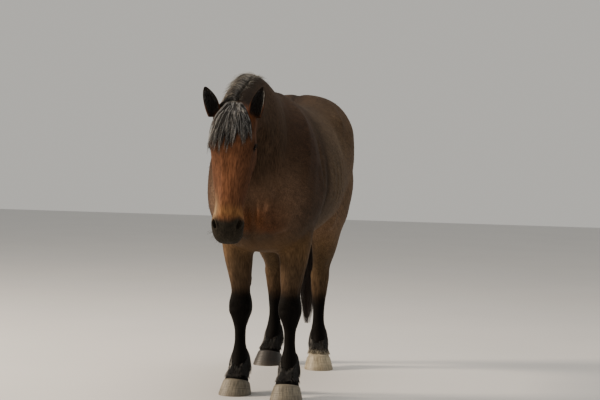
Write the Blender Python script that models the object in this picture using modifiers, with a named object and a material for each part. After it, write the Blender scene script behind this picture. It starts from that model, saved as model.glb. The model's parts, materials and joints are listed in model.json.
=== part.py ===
"""A draft cross horse standing at rest, life size, in metres, with +Z up.

The horse looks along -Y, and +X is its left side. Every fleshy part is a loft between two lines
drawn on its side view, such as the crest and the throat of the neck. The lofts are fused by a
voxel remesh, muscles are swelled out of the surface, and the body is then parted with thin cuts.
"""

import math

import bmesh
import bpy
import numpy as np
from mathutils import Matrix, Vector
from mathutils.bvhtree import BVHTree

# The gap that parted pieces keep, and the fineness of the fused body.
GAP = 0.0003
VOXEL = 0.012
BODY_TRIANGLES = 6400

# Torso: y, top line, belly line, half width, height of the widest place as a share of the depth
# from the top, and how square the upper and lower halves are (2 is an ellipse).
TORSO = (
    (-0.915, 1.170, 1.010, 0.100, 0.50, 2.0, 2.0),
    (-0.890, 1.250, 0.940, 0.175, 0.50, 2.1, 2.0),
    (-0.830, 1.360, 0.870, 0.235, 0.50, 2.2, 2.1),
    (-0.740, 1.470, 0.825, 0.275, 0.52, 2.3, 2.2),
    (-0.620, 1.580, 0.800, 0.292, 0.54, 2.2, 2.4),
    (-0.500, 1.655, 0.790, 0.298, 0.56, 2.0, 2.4),
    (-0.400, 1.680, 0.795, 0.306, 0.56, 1.8, 2.1),
    (-0.280, 1.660, 0.808, 0.320, 0.56, 1.9, 1.9),
    (-0.120, 1.632, 0.815, 0.336, 0.56, 2.1, 1.85),
    (0.050, 1.620, 0.818, 0.346, 0.55, 2.2, 1.85),
    (0.200, 1.628, 0.828, 0.346, 0.53, 2.3, 1.9),
    (0.340, 1.654, 0.855, 0.344, 0.50, 2.5, 2.0),
    (0.480, 1.686, 0.890, 0.345, 0.48, 2.6, 2.2),
    (0.600, 1.685, 0.930, 0.342, 0.48, 2.6, 2.2),
    (0.700, 1.640, 0.960, 0.318, 0.48, 2.5, 2.2),
    (0.790, 1.565, 1.020, 0.255, 0.48, 2.2, 2.2),
    (0.850, 1.470, 1.120, 0.175, 0.48, 2.1, 2.1),
    (0.875, 1.380, 1.220, 0.080, 0.50, 2.0, 2.0),
)

# Neck: crest y and z, throat y and z, half width, widest place, squareness above and below.
NECK = (
    (-0.340, 1.590, -0.680, 0.950, 0.220, 0.62, 1.7, 2.3),
    (-0.470, 1.672, -0.840, 1.020, 0.205, 0.62, 1.7, 2.3),
    (-0.600, 1.700, -0.925, 1.110, 0.180, 0.62, 1.7, 2.3),
    (-0.730, 1.726, -0.965, 1.190, 0.156, 0.60, 1.7, 2.2),
    (-0.860, 1.742, -0.995, 1.270, 0.136, 0.58, 1.7, 2.1),
    (-0.980, 1.706, -1.015, 1.345, 0.120, 0.56, 1.7, 2.0),
    (-1.090, 1.655, -1.035, 1.400, 0.110, 0.54, 1.8, 2.0),
    (-1.170, 1.603, -1.070, 1.425, 0.102, 0.50, 1.9, 2.0),
    (-1.225, 1.560, -1.130, 1.410, 0.085, 0.50, 2.0, 2.0),
)

# Head: distance down the face from the poll, face line, jaw line (both measured out from a
# straight line down the face), half width, widest place, squareness above and below.
HEAD = (
    (-0.030, -0.055, -0.120, 0.074, 0.50, 2.2, 2.0),
    (0.000, -0.020, -0.155, 0.107, 0.40, 2.5, 2.0),
    (0.050, 0.002, -0.200, 0.113, 0.30, 2.6, 2.0),
    (0.120, 0.012, -0.245, 0.113, 0.25, 2.8, 2.0),
    (0.200, 0.012, -0.278, 0.112, 0.22, 3.0, 2.1),
    (0.270, 0.006, -0.280, 0.107, 0.25, 2.8, 2.1),
    (0.340, 0.001, -0.250, 0.096, 0.30, 2.4, 2.1),
    (0.410, 0.000, -0.210, 0.084, 0.35, 2.2, 2.1),
    (0.480, -0.001, -0.175, 0.074, 0.40, 2.1, 2.2),
    (0.540, -0.004, -0.158, 0.072, 0.45, 2.1, 2.3),
    (0.590, -0.012, -0.155, 0.076, 0.45, 2.2, 2.4),
    (0.630, -0.026, -0.155, 0.077, 0.45, 2.3, 2.5),
    (0.662, -0.044, -0.146, 0.070, 0.50, 2.3, 2.4),
    (0.686, -0.068, -0.130, 0.048, 0.50, 2.0, 2.0),
)
POLL = Vector((-0.049, -1.235, 1.575))
HEAD_PITCH = math.radians(16)
HEAD_TURN = math.radians(1.5)

# Front leg: height, front edge and back edge from the cannon's axis, half width, distance of
# the leg's middle from the body's middle, squareness before and behind.
FRONT_LEG = (
    (1.180, -0.110, 0.110, 0.055, 0.180, 2.2, 2.2),
    (1.080, -0.140, 0.150, 0.078, 0.175, 2.2, 2.2),
    (0.980, -0.142, 0.152, 0.090, 0.170, 2.2, 2.2),
    (0.900, -0.128, 0.128, 0.092, 0.168, 2.2, 2.2),
    (0.820, -0.110, 0.100, 0.088, 0.164, 2.2, 2.2),
    (0.730, -0.092, 0.078, 0.078, 0.157, 2.2, 2.2),
    (0.640, -0.076, 0.066, 0.065, 0.150, 2.2, 2.2),
    (0.560, -0.062, 0.056, 0.056, 0.146, 2.3, 2.3),
    (0.505, -0.067, 0.060, 0.066, 0.146, 2.5, 2.4),
    (0.460, -0.068, 0.066, 0.067, 0.147, 2.5, 2.3),
    (0.415, -0.055, 0.060, 0.051, 0.148, 2.4, 2.1),
    (0.370, -0.042, 0.050, 0.038, 0.149, 2.2, 2.0),
    (0.310, -0.038, 0.047, 0.034, 0.149, 2.2, 2.0),
    (0.260, -0.039, 0.050, 0.037, 0.150, 2.2, 2.0),
    (0.220, -0.047, 0.060, 0.047, 0.150, 2.2, 2.0),
    (0.190, -0.056, 0.062, 0.049, 0.150, 2.2, 2.0),
    (0.160, -0.072, 0.048, 0.045, 0.150, 2.2, 2.0),
    (0.128, -0.098, 0.022, 0.048, 0.150, 2.2, 2.1),
    (0.100, -0.125, 0.006, 0.062, 0.150, 2.2, 2.2),
    (0.070, -0.140, 0.000, 0.070, 0.150, 2.2, 2.3),
    (0.040, -0.150, -0.005, 0.070, 0.150, 2.2, 2.3),
)
FRONT_AXIS = -0.470

# Hind leg: as the front leg, from the hind cannon's axis.
HIND_LEG = (
    (1.340, -0.340, 0.100, 0.120, 0.175, 2.2, 2.2),
    (1.220, -0.385, 0.115, 0.155, 0.178, 2.2, 2.2),
    (1.100, -0.420, 0.105, 0.158, 0.176, 2.2, 2.2),
    (1.010, -0.425, 0.085, 0.142, 0.176, 2.2, 2.2),
    (0.940, -0.405, 0.062, 0.124, 0.178, 2.2, 2.2),
    (0.880, -0.360, 0.042, 0.102, 0.174, 2.2, 2.1),
    (0.820, -0.300, 0.028, 0.089, 0.167, 2.2, 2.0),
    (0.760, -0.240, 0.026, 0.079, 0.160, 2.2, 1.8),
    (0.700, -0.180, 0.042, 0.068, 0.148, 2.2, 1.6),
    (0.655, -0.138, 0.074, 0.059, 0.136, 2.2, 1.6),
    (0.620, -0.102, 0.078, 0.055, 0.127, 2.3, 1.7),
    (0.570, -0.076, 0.066, 0.058, 0.122, 2.4, 1.8),
    (0.520, -0.060, 0.052, 0.056, 0.119, 2.4, 1.9),
    (0.465, -0.048, 0.046, 0.050, 0.117, 2.3, 1.9),
    (0.410, -0.043, 0.044, 0.044, 0.116, 2.2, 2.0),
    (0.340, -0.040, 0.043, 0.038, 0.116, 2.2, 2.0),
    (0.285, -0.041, 0.046, 0.039, 0.116, 2.2, 2.0),
    (0.240, -0.050, 0.056, 0.047, 0.117, 2.2, 2.0),
    (0.205, -0.060, 0.058, 0.050, 0.118, 2.2, 2.0),
    (0.170, -0.076, 0.042, 0.046, 0.118, 2.2, 2.0),
    (0.135, -0.102, 0.018, 0.048, 0.118, 2.2, 2.1),
    (0.100, -0.128, 0.004, 0.062, 0.118, 2.2, 2.2),
    (0.070, -0.142, -0.002, 0.070, 0.118, 2.2, 2.3),
    (0.040, -0.152, -0.006, 0.070, 0.118, 2.2, 2.3),
)
HIND_AXIS = 0.750

# Each leg: side, rows, axis, how far the foot stands behind its neutral place and how far
# outside it, and the degrees that the toe turns out.
LEGS = {
    "front_leg_left": (1, FRONT_LEG, FRONT_AXIS, -0.060, 0.000, 3),
    "front_leg_right": (-1, FRONT_LEG, FRONT_AXIS, 0.065, -0.006, 5),
    "hind_leg_left": (1, HIND_LEG, HIND_AXIS, 0.015, 0.004, 12),
    "hind_leg_right": (-1, HIND_LEG, HIND_AXIS, 0.130, 0.062, 10),
}
LEAN_TOP = 1.05
LEAN_END = {"front": 0.0, "hind": 0.60}
TURN_TOP = 0.26
TURN_BOTTOM = 0.17

# Hoof: height and edges at the toe and at the heel, half width, squareness before and behind.
HOOF = (
    (0.000, -0.205, 0.000, -0.018, 0.089, 2.2, 2.8),
    (0.040, -0.180, 0.020, -0.010, 0.082, 2.2, 2.7),
    (0.092, -0.140, 0.050, 0.000, 0.071, 2.2, 2.5),
)

# Muscles and hollows: middle, spread along each axis, tilt about X in degrees, and how far the
# surface swells out (or sinks in). Each is mirrored to the other side.
SWELLS = (
    ((0.170, -0.880, 1.110), (0.070, 0.060, 0.080), 0, 0.020),
    ((0.280, -0.520, 1.080), (0.100, 0.130, 0.085), 20, 0.016),
    ((0.240, -0.600, 1.360), (0.100, 0.060, 0.200), -28, 0.012),
    ((0.080, -0.910, 1.000), (0.055, 0.060, 0.075), 0, 0.018),
    ((0.000, -0.910, 0.980), (0.014, 0.080, 0.110), 0, -0.020),
    ((0.180, -0.790, 1.400), (0.080, 0.026, 0.180), -30, -0.012),
    ((0.110, -0.960, 1.300), (0.040, 0.022, 0.120), -10, -0.008),
    ((0.310, 0.240, 1.400), (0.060, 0.080, 0.090), 0, -0.020),
    ((0.270, 0.320, 1.520), (0.050, 0.050, 0.045), 0, 0.012),
    ((0.240, 0.340, 1.000), (0.060, 0.060, 0.060), 0, 0.014),
    ((0.270, 0.700, 1.130), (0.060, 0.022, 0.170), 8, -0.012),
    ((0.000, 0.560, 1.690), (0.018, 0.200, 0.030), 0, -0.010),
    ((0.000, 0.000, 1.610), (0.020, 0.250, 0.030), 0, -0.004),
    ((0.330, -0.320, 1.120), (0.060, 0.030, 0.180), 0, -0.008),
)

# Swellings of the head: distance to its left, out from the face line and down the face.
HEAD_SWELLS = (
    ((0.088, -0.020, 0.170), (0.030, 0.022, 0.030), 0, 0.013),
    ((0.090, -0.180, 0.190), (0.030, 0.055, 0.060), 0, 0.010),
    ((0.080, -0.088, 0.340), (0.022, 0.014, 0.080), 0, 0.008),
    ((0.050, -0.050, 0.420), (0.022, 0.022, 0.060), 0, -0.004),
    ((0.070, -0.055, 0.590), (0.026, 0.030, 0.034), 0, 0.012),
    ((0.000, -0.040, 0.660), (0.040, 0.040, 0.026), 0, 0.008),
    ((0.000, -0.150, 0.634), (0.030, 0.026, 0.030), 0, 0.010),
    ((0.030, -0.110, 0.652), (0.026, 0.014, 0.026), 0, 0.005),
    ((0.070, 0.000, 0.090), (0.024, 0.024, 0.024), 0, -0.006),
)

# Where the lofts meet and the skin is drawn smooth over the crease: middle and reach.
BLENDS = (
    ((0.180, -0.800, 1.400), 0.130),
    ((0.120, -0.850, 1.200), 0.130),
    ((0.220, -0.700, 1.560), 0.100),
    ((0.200, -0.500, 0.930), 0.090),
    ((0.090, -0.600, 0.850), 0.070),
    ((0.220, 0.300, 1.080), 0.100),
    ((0.100, 0.560, 0.960), 0.100),
    ((0.060, -1.080, 1.400), 0.060),
    ((0.000, -1.150, 1.600), 0.050),
)
ROUNDS_ALL = 2
ROUNDS_BLEND = 26

# The planes that part the body: a point on each, and the direction of the piece beyond it.
NECK_CUT = ((0.0, -0.745, 1.400), (0.0, -0.841, 0.541))
HEAD_CUT = ((0.0, -1.080, 1.455), (0.0, -0.899, -0.437))
LEG_REGION_TOP = 0.86

# How each leg is parted from the torso, on the left side: three points of its slanted top.
LEG_TOPS = {
    "front": ((0.300, -0.600, 1.000), (0.080, -0.600, 0.800), (0.150, -0.340, 0.815)),
    "hind": ((0.340, 0.600, 1.100), (0.060, 0.600, 0.900), (0.150, 0.345, 0.860)),
}
# Where it starts and ends along the body, and where it starts from the middle.
LEG_REACH = {"front": (-1.000, -0.330, 0.050), "hind": (0.345, 1.200, 0.020)}
BLOCK_SIZE = 6.0

# Eyes, lids, nostrils and mouth, in the head's measures.
EYE_OUT = -0.046
EYE_DOWN = 0.200
EYE_RADIUS = 0.0210
EYE_SUNK = 0.0165
EYE_SEGMENTS = 14
SOCKET_GAP = 0.0005
LID_RADIUS = 0.0248
EYE_OPENING = (0.0300, 0.0115, 0.0172)
EYE_TILT = math.radians(25)
NOSTRIL = (0.066, -0.030, 0.605)
NOSTRIL_RADII = (0.026, 0.012, 0.027)
NOSTRIL_SEGMENTS = 10
NOSTRIL_SLANT = math.radians(18)
NOSTRIL_FACING = math.radians(40)
MOUTH = ((-0.104, 0.745), (-0.122, 0.600))
MOUTH_WIDTH = 0.30
MOUTH_GAP = 0.0025

# Ears: sizes, how far the sides of the cup fold round, and how each one stands.
EAR_LENGTH = 0.170
EAR_WIDTH = 0.067
EAR_WALL = 0.005
EAR_CUP = 1.9
EAR_CURL = 0.020
EAR_ROOT = (0.116, -0.055, 0.040)
EAR_LEAN = {1: math.radians(5), -1: math.radians(15)}
EAR_FORWARD = math.radians(-4)
EAR_TWIST = {1: math.radians(10), -1: math.radians(22)}

# Mane, forelock, tail and feather: reach along the body, numbers and sizes of the locks.
CORE_SIDES = 8
MANE_FROM = -1.148
MANE_TO = -0.470
MANE_ROLL = 0.020
MANE_LOCKS = 13
MANE_LENGTH = (0.34, 0.44)
MANE_LIFT = 0.015
FORELOCK_LOCKS = 9
# The tuft between the ears: out from the face line, down the face, half width, half depth.
FORELOCK_KNOT = (
    (-0.050, -0.050, 0.026, 0.010),
    (-0.022, -0.020, 0.034, 0.012),
    (0.000, 0.020, 0.030, 0.010),
    (0.010, 0.070, 0.010, 0.006),
)
FORELOCK_FAN = 0.85
FORELOCK_LENGTH = (0.20, 0.25)
FORELOCK_LIFT = 0.006
TAIL_LOCKS = 12
TAIL_CORE = 0.48
# The tail's middle line and half sizes: share of its length, x, y, z, half width, half depth.
TAIL = (
    (0.00, 0.000, 0.830, 1.440, 0.030, 0.028),
    (0.06, 0.000, 0.895, 1.410, 0.040, 0.036),
    (0.15, 0.002, 0.940, 1.310, 0.068, 0.050),
    (0.35, 0.008, 0.955, 1.060, 0.092, 0.064),
    (0.60, 0.014, 0.950, 0.750, 0.088, 0.062),
    (0.85, 0.018, 0.945, 0.440, 0.056, 0.044),
    (1.00, 0.020, 0.940, 0.250, 0.014, 0.014),
)
# Feather: height of the roots, locks, first and last bearing round from behind in degrees,
# length behind, and how far the locks stand out.
FEATHER = (
    (0.215, 4, -66, 66, 0.130, 0.25),
    (0.128, 11, -164, 164, 0.080, 0.55),
)
FEATHER_LIFT = 0.005
FEATHER_HEART = -0.30
FLOOR_CLEAR = 0.012
HOOF_CLEAR = 0.0005
PALE_HOOVES = ("front_leg_left", "front_leg_right", "hind_leg_left")

MATERIALS = {
    "bay_coat": ((0.075, 0.040, 0.022), 0.62),
    "black_points": ((0.012, 0.010, 0.009), 0.60),
    "mane_hair": ((0.055, 0.050, 0.044), 0.55),
    "tail_hair": ((0.012, 0.010, 0.009), 0.55),
    "pale_horn": ((0.420, 0.370, 0.290), 0.60),
    "dark_horn": ((0.050, 0.045, 0.040), 0.60),
    "eye": ((0.015, 0.009, 0.006), 0.08),
}


def curve(places, values, at):
    """Values at the places asked for, on a smooth curve through the given ones."""
    slope = np.gradient(values, places, axis=0)
    k = np.clip(np.searchsorted(places, at) - 1, 0, len(places) - 2)
    h = (places[k + 1] - places[k])[:, None]
    t = (at[:, None] - places[k][:, None]) / h
    return (
        (1 + 2 * t) * (1 - t) ** 2 * values[k]
        + t * (1 - t) ** 2 * h * slope[k]
        + t**2 * (3 - 2 * t) * values[k + 1]
        - t**2 * (1 - t) * h * slope[k + 1]
    )


def two_line_rings(upper, lower, shape, count, sides):
    """Rings between an upper and a lower line, from rows of points and of section sizes.

    A ring spans from its upper to its lower point, and half its width to each side along X. It
    is a superellipse whose upper and lower halves have their own squareness.
    """
    upper, lower, shape = (np.array(a, float) for a in (upper, lower, shape))
    middle = (upper + lower) / 2
    along = np.r_[0, np.cumsum(np.linalg.norm(np.diff(middle, axis=0), axis=1))]
    at = np.linspace(0, along[-1], count)
    upper, lower, shape = (curve(along, a, at) for a in (upper, lower, shape))
    half_width, widest, above, below = (shape[:, k, None] for k in range(4))
    depth = np.linalg.norm(lower - upper, axis=1)[:, None]
    down = (lower - upper) / depth
    angle = np.linspace(0, 2 * math.pi, sides, endpoint=False)
    c, s = np.cos(angle)[None, :], np.sin(angle)[None, :]
    power = 2 / np.where(c > 0, above, below)
    reach = np.where(c > 0, widest, 1 - widest) * depth
    fall = -np.sign(c) * np.abs(c) ** power * reach
    out = np.sign(s) * np.abs(s) ** power * half_width
    heart = upper + (lower - upper) * widest
    rings = heart[:, None, :] + down[:, None, :] * fall[:, :, None]
    rings[:, :, 0] += out
    return rings


def mesh_of_rings(name, rings):
    """A closed mesh through the rings, with a flat cap at each end."""
    count, sides, _ = rings.shape
    i = np.arange(count - 1)[:, None] * sides
    j = np.arange(sides)[None, :]
    k = (j + 1) % sides
    quads = np.stack([i + j, i + k, i + sides + k, i + sides + j], axis=-1).reshape(-1, 4)
    caps = [list(range(sides)), list(range((count - 1) * sides, count * sides))]
    mesh = bpy.data.meshes.new(name)
    mesh.from_pydata(rings.reshape(-1, 3).tolist(), [], quads.tolist() + caps)
    face_outwards(mesh)
    return mesh


def face_outwards(mesh):
    bm = bmesh.new()
    bm.from_mesh(mesh)
    bmesh.ops.recalc_face_normals(bm, faces=bm.faces)
    bm.to_mesh(mesh)
    bm.free()


def head_matrix():
    """Head frame to body frame: X to the left, Y out of the face, Z from the muzzle to the poll."""
    pitch = Matrix.Rotation(HEAD_PITCH, 4, "X")
    face_out = Matrix(((1, 0, 0, 0), (0, -1, 0, 0), (0, 0, 1, 0), (0, 0, 0, 1)))
    turn = Matrix.Rotation(HEAD_TURN, 4, "Z")
    return Matrix.Translation(POLL) @ turn @ pitch.inverted() @ face_out


def head_point(across, out, down_face):
    """A point of the head: to its left, out from the face line, and down the face."""
    return head_matrix() @ Vector((across, out, -down_face))


def neck_bend(y):
    """How far the neck's middle is carried to the side at y: none at the chest, all at the poll."""
    t = np.clip((y + 0.75) / (POLL.y + 0.75), 0, 1)
    return POLL.x * t * t * (3 - 2 * t)


def torso_rings():
    rows = np.array(TORSO)
    zero = np.zeros(len(rows))
    upper = np.stack([zero, rows[:, 0], rows[:, 1]], axis=1)
    lower = np.stack([zero, rows[:, 0], rows[:, 2]], axis=1)
    return two_line_rings(upper, lower, rows[:, 3:], 90, 64)


def neck_rings():
    rows = np.array(NECK)
    zero = np.zeros(len(rows))
    upper = np.stack([zero, rows[:, 0], rows[:, 1]], axis=1)
    lower = np.stack([zero, rows[:, 2], rows[:, 3]], axis=1)
    rings = two_line_rings(upper, lower, rows[:, 4:], 50, 48)
    rings[:, :, 0] += neck_bend(rings[:, :, 1])
    return rings


def head_rings():
    rows = np.array(HEAD)
    zero = np.zeros(len(rows))
    upper = np.stack([zero, rows[:, 1], -rows[:, 0]], axis=1)
    lower = np.stack([zero, rows[:, 2], -rows[:, 0]], axis=1)
    rings = two_line_rings(upper, lower, rows[:, 3:], 60, 48)
    m = np.array(head_matrix())
    return rings @ m[:3, :3].T + m[:3, 3]


def stance(points, leg):
    """Points of a neutral leg moved to where the foot stands: all at the ground, none at the top."""
    side, rows, axis, behind, outside, toe_out = LEGS[leg]
    middle = rows[-1][4]
    height = points[..., 2]
    turned = np.clip((TURN_TOP - height) / (TURN_TOP - TURN_BOTTOM), 0, 1)
    angle = math.radians(toe_out) * turned * turned * (3 - 2 * turned)
    c, s = np.cos(angle), np.sin(angle)
    across, along = points[..., 0] - middle, points[..., 1]
    straight = LEAN_END[leg.split("_")[0]]
    share = np.clip((LEAN_TOP - height) / (LEAN_TOP - straight), 0, 1)
    moved = points.copy()
    moved[..., 0] = side * (middle + c * across - s * along + outside * share)
    moved[..., 1] = c * along + s * across + axis + behind * share
    return moved


def leg_rings(leg):
    rows = np.array(LEGS[leg][1])
    upper = np.stack([rows[:, 4], rows[:, 1], rows[:, 0]], axis=1)
    lower = np.stack([rows[:, 4], rows[:, 2], rows[:, 0]], axis=1)
    shape = np.stack([rows[:, 3], np.full(len(rows), 0.5), rows[:, 5], rows[:, 6]], axis=1)
    return stance(two_line_rings(upper, lower, shape, 80, 32), leg)


def hoof_rings(leg):
    """The hoof's wall from the ground to the coronet, standing as its leg does."""
    rows = np.array(HOOF)
    across = np.full(len(rows), LEGS[leg][1][-1][4])
    upper = np.stack([across, rows[:, 1], rows[:, 0]], axis=1)
    lower = np.stack([across, rows[:, 3], rows[:, 2]], axis=1)
    shape = np.stack([rows[:, 4], np.full(len(rows), 0.55), rows[:, 5], rows[:, 6]], axis=1)
    return stance(two_line_rings(upper, lower, shape, 4, 20), leg)


def swell(points, normals, rows):
    """Points moved along their normals by a bell-shaped swelling at each row."""
    moved = points.copy()
    for centre, spread, tilt, amount in rows:
        c, s = math.cos(math.radians(tilt)), math.sin(math.radians(tilt))
        turn = np.array(((1, 0, 0), (0, c, -s), (0, s, c)))
        for side in (1, -1) if centre[0] else (1,):
            along = (points - np.array((side * centre[0], centre[1], centre[2]))) @ turn
            bell = np.exp(-0.5 * ((along / np.array(spread)) ** 2).sum(axis=1))
            moved += normals * (amount * bell)[:, None]
    return moved


def new_object(name, mesh, collection):
    """An object in a collection; one among the cutters is drawn as wire and isn't rendered."""
    obj = bpy.data.objects.new(name, mesh)
    collection.objects.link(obj)
    if collection.name == "cutters":
        obj.display_type = "WIRE"
        obj.hide_render = True
    return obj


def evaluated_mesh(obj):
    """The object's mesh with its modifiers applied."""
    graph = bpy.context.evaluated_depsgraph_get()
    return bpy.data.meshes.new_from_object(obj.evaluated_get(graph))


def points_and_normals(mesh):
    points = np.empty(len(mesh.vertices) * 3, np.float32)
    normals = np.empty(len(mesh.vertices) * 3, np.float32)
    mesh.vertices.foreach_get("co", points)
    mesh.vertices.foreach_get("normal", normals)
    return points.reshape(-1, 3).astype(float), normals.reshape(-1, 3).astype(float)


def relaxed(points, mesh, weight, rounds):
    """Points moved towards the mean of their neighbours, each by its own weight."""
    ends = np.empty(len(mesh.edges) * 2, np.int32)
    mesh.edges.foreach_get("vertices", ends)
    one, other = ends.reshape(-1, 2).T
    here, there = np.r_[one, other], np.r_[other, one]
    count = np.bincount(here, minlength=len(points))[:, None]
    for _ in range(rounds):
        sums = [np.bincount(here, points[there, k], minlength=len(points)) for k in range(3)]
        points = points + weight[:, None] * (np.stack(sums, axis=1) / count - points)
    return points


def bells(points, rows):
    """At each point the highest of the bells round the rows' middles, mirrored to both sides."""
    height = np.zeros(len(points))
    mirrored = np.abs(points[:, 0])
    for (x, y, z), spread in rows:
        off = np.stack([mirrored - x, points[:, 1] - y, points[:, 2] - z], axis=1)
        height = np.maximum(height, np.exp(-0.5 * (off**2).sum(axis=1) / spread**2))
    return height


def set_points(mesh, points):
    mesh.vertices.foreach_set("co", points.astype(np.float32).ravel())
    mesh.update()


def thinned(mesh, inside, triangles, helpers):
    """The mesh with its triangles in one region brought down to a number."""
    obj = new_object("region", mesh, helpers)
    group = obj.vertex_groups.new(name="region")
    group.add(np.nonzero(inside)[0].tolist(), 1.0, "REPLACE")
    corners = np.empty(len(mesh.polygons) * 3, np.int32)
    mesh.polygons.foreach_get("vertices", corners)
    here = int(inside[corners.reshape(-1, 3)].all(axis=1).sum())
    decimate = obj.modifiers.new("thin", "DECIMATE")
    decimate.ratio = 1 - max(here - triangles, 0) / len(mesh.polygons)
    decimate.vertex_group = group.name
    result = evaluated_mesh(obj)
    bpy.data.objects.remove(obj)
    return result


def fused_body(helpers):
    """One closed skin over every loft, softened where they meet and swelled with muscles."""
    lofts = [torso_rings(), neck_rings(), head_rings()] + [leg_rings(leg) for leg in LEGS]
    bm = bmesh.new()
    for k, rings in enumerate(lofts):
        bm.from_mesh(mesh_of_rings(f"loft_{k}", rings))
    mesh = bpy.data.meshes.new("lofts")
    bm.to_mesh(mesh)
    bm.free()
    obj = new_object("lofts", mesh, helpers)
    remesh = obj.modifiers.new("fuse", "REMESH")
    remesh.mode = "VOXEL"
    remesh.voxel_size = VOXEL
    obj.modifiers.new("triangles", "TRIANGULATE")
    fused = evaluated_mesh(obj)
    bpy.data.objects.remove(obj)

    points, _ = points_and_normals(fused)
    points = relaxed(points, fused, np.full(len(points), 0.5), ROUNDS_ALL)
    points = relaxed(points, fused, 0.5 * bells(points, BLENDS), ROUNDS_BLEND)
    set_points(fused, points)
    points, normals = points_and_normals(fused)
    points = swell(points, normals, SWELLS)
    m = np.array(head_matrix())
    across, out, up = ((points - m[:3, 3]) @ m[:3, :3]).T
    in_head = np.stack([across, out, -up], axis=1)
    turned = normals @ m[:3, :3] * (1, 1, -1)
    in_head = swell(in_head, turned, HEAD_SWELLS) * (1, 1, -1)
    points = np.where(is_head(points)[:, None], in_head @ m[:3, :3].T + m[:3, 3], points)
    set_points(fused, points)

    for region, triangles in ((is_torso, 1800), (is_neck, 600), (is_head, 1700), (is_leg, 3600)):
        points, _ = points_and_normals(fused)
        fused = thinned(fused, region(points), triangles, helpers)
    points, _ = points_and_normals(fused)
    return thinned(fused, np.full(len(points), True), BODY_TRIANGLES, helpers)


def is_head(points):
    return side_of(points, HEAD_CUT) > 0


def is_neck(points):
    return (side_of(points, NECK_CUT) > 0) & (side_of(points, HEAD_CUT) <= 0)


def is_leg(points):
    return points[:, 2] < LEG_REGION_TOP


def is_torso(points):
    return (side_of(points, NECK_CUT) <= 0) & (points[:, 2] >= LEG_REGION_TOP)


def side_of(points, plane):
    """How far each point lies beyond a plane, which is a point and a direction."""
    normal = np.array(plane[1]) / np.linalg.norm(plane[1])
    return (points - np.array(plane[0])) @ normal


def block(name, planes, slack, helpers):
    """A closed block of all that lies behind the planes, each moved out by the slack."""
    bm = bmesh.new()
    bmesh.ops.create_cube(bm, size=BLOCK_SIZE)
    for point, outward in planes:
        normal = Vector(outward).normalized()
        geometry = bm.verts[:] + bm.edges[:] + bm.faces[:]
        cut = bmesh.ops.bisect_plane(
            bm, geom=geometry, plane_co=Vector(point) + normal * slack, plane_no=normal, clear_outer=True
        )
        rim = [e for e in cut["geom_cut"] if isinstance(e, bmesh.types.BMEdge)]
        bmesh.ops.contextual_create(bm, geom=rim)
    bmesh.ops.recalc_face_normals(bm, faces=bm.faces)
    mesh = bpy.data.meshes.new(name)
    bm.to_mesh(mesh)
    bm.free()
    return new_object(name, mesh, helpers)


def combined(mesh, operation, cutters, helpers, solver="EXACT"):
    """The mesh cut by, cut down to or joined with the cutters, which are used up."""
    group = bpy.data.collections.new("group")
    helpers.children.link(group)
    for cutter in cutters:
        group.objects.link(cutter)
    obj = new_object("combined", mesh, helpers)
    boolean = obj.modifiers.new("combine", "BOOLEAN")
    boolean.operation = operation
    boolean.solver = solver
    boolean.operand_type = "COLLECTION"
    boolean.collection = group
    result = evaluated_mesh(obj)
    bpy.data.objects.remove(obj)
    for cutter in cutters:
        bpy.data.objects.remove(cutter)
    bpy.data.collections.remove(group)
    return largest_surface(result)


def largest_surface(mesh):
    """The mesh in triangles, with only its largest closed surface."""
    bm = bmesh.new()
    bm.from_mesh(mesh)
    bmesh.ops.triangulate(bm, faces=bm.faces)
    unseen = set(bm.verts)
    surfaces = []
    while unseen:
        start = unseen.pop()
        surface = [start]
        waiting = [start]
        while waiting:
            for edge in waiting.pop().link_edges:
                for vert in edge.verts:
                    if vert in unseen:
                        unseen.remove(vert)
                        surface.append(vert)
                        waiting.append(vert)
        surfaces.append(surface)
    surfaces.sort(key=len)
    loose = [vert for surface in surfaces[:-1] for vert in surface]
    bmesh.ops.delete(bm, geom=loose, context="VERTS")
    bm.to_mesh(mesh)
    bm.free()
    return mesh


def leg_block(leg):
    """Planes round a leg, from its slanted top down, on its own side of the body."""
    side = LEGS[leg][0]
    outer, inner, third = LEG_TOPS[leg.split("_")[0]]
    start, stop, from_middle = LEG_REACH[leg.split("_")[0]]
    up = np.cross(np.subtract(outer, inner), np.subtract(third, inner))
    up *= np.sign(up[2])
    planes = [
        (inner, tuple(up)),
        ((0, start, 0), (0, -1, 0)),
        ((0, stop, 0), (0, 1, 0)),
        ((from_middle, 0, 0), (-1, 0, 0)),
    ]
    return [((side * p[0], p[1], p[2]), (side * n[0], n[1], n[2])) for p, n in planes]


def coronet_plane(leg):
    """The plane on the hoof's upper rim, as its middle and its upward direction."""
    rim = hoof_rings(leg)[-1]
    toe, heel = rim[0], rim[len(rim) // 2]
    normal = np.cross(rim[len(rim) // 4] - heel, toe - heel)
    if normal[2] < 0:
        normal = -normal
    return rim.mean(axis=0), normal / np.linalg.norm(normal)


def beyond(plane):
    """The planes of a block that holds all that lies beyond one plane."""
    return [(plane[0], tuple(-c for c in plane[1]))]


def split(mesh, planes, helpers):
    """The part of the mesh inside a block, and the rest of it, a gap apart."""
    inside = combined(mesh.copy(), "INTERSECT", [block("inside", planes, 0, helpers)], helpers)
    outside = combined(mesh, "DIFFERENCE", [block("outside", planes, GAP, helpers)], helpers)
    return inside, outside


def parted(body, helpers):
    """The body's pieces by name, cut apart with thin gaps."""
    pieces = {}
    front, rest = split(body, beyond(NECK_CUT), helpers)
    pieces["head"], pieces["neck"] = split(front, beyond(HEAD_CUT), helpers)
    for leg in LEGS:
        whole, rest = split(rest, leg_block(leg), helpers)
        middle, up = coronet_plane(leg)
        below = block("below", [(middle, up)], GAP, helpers)
        pieces[leg] = combined(whole, "DIFFERENCE", [below], helpers)
    pieces["torso"] = rest
    return pieces


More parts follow.
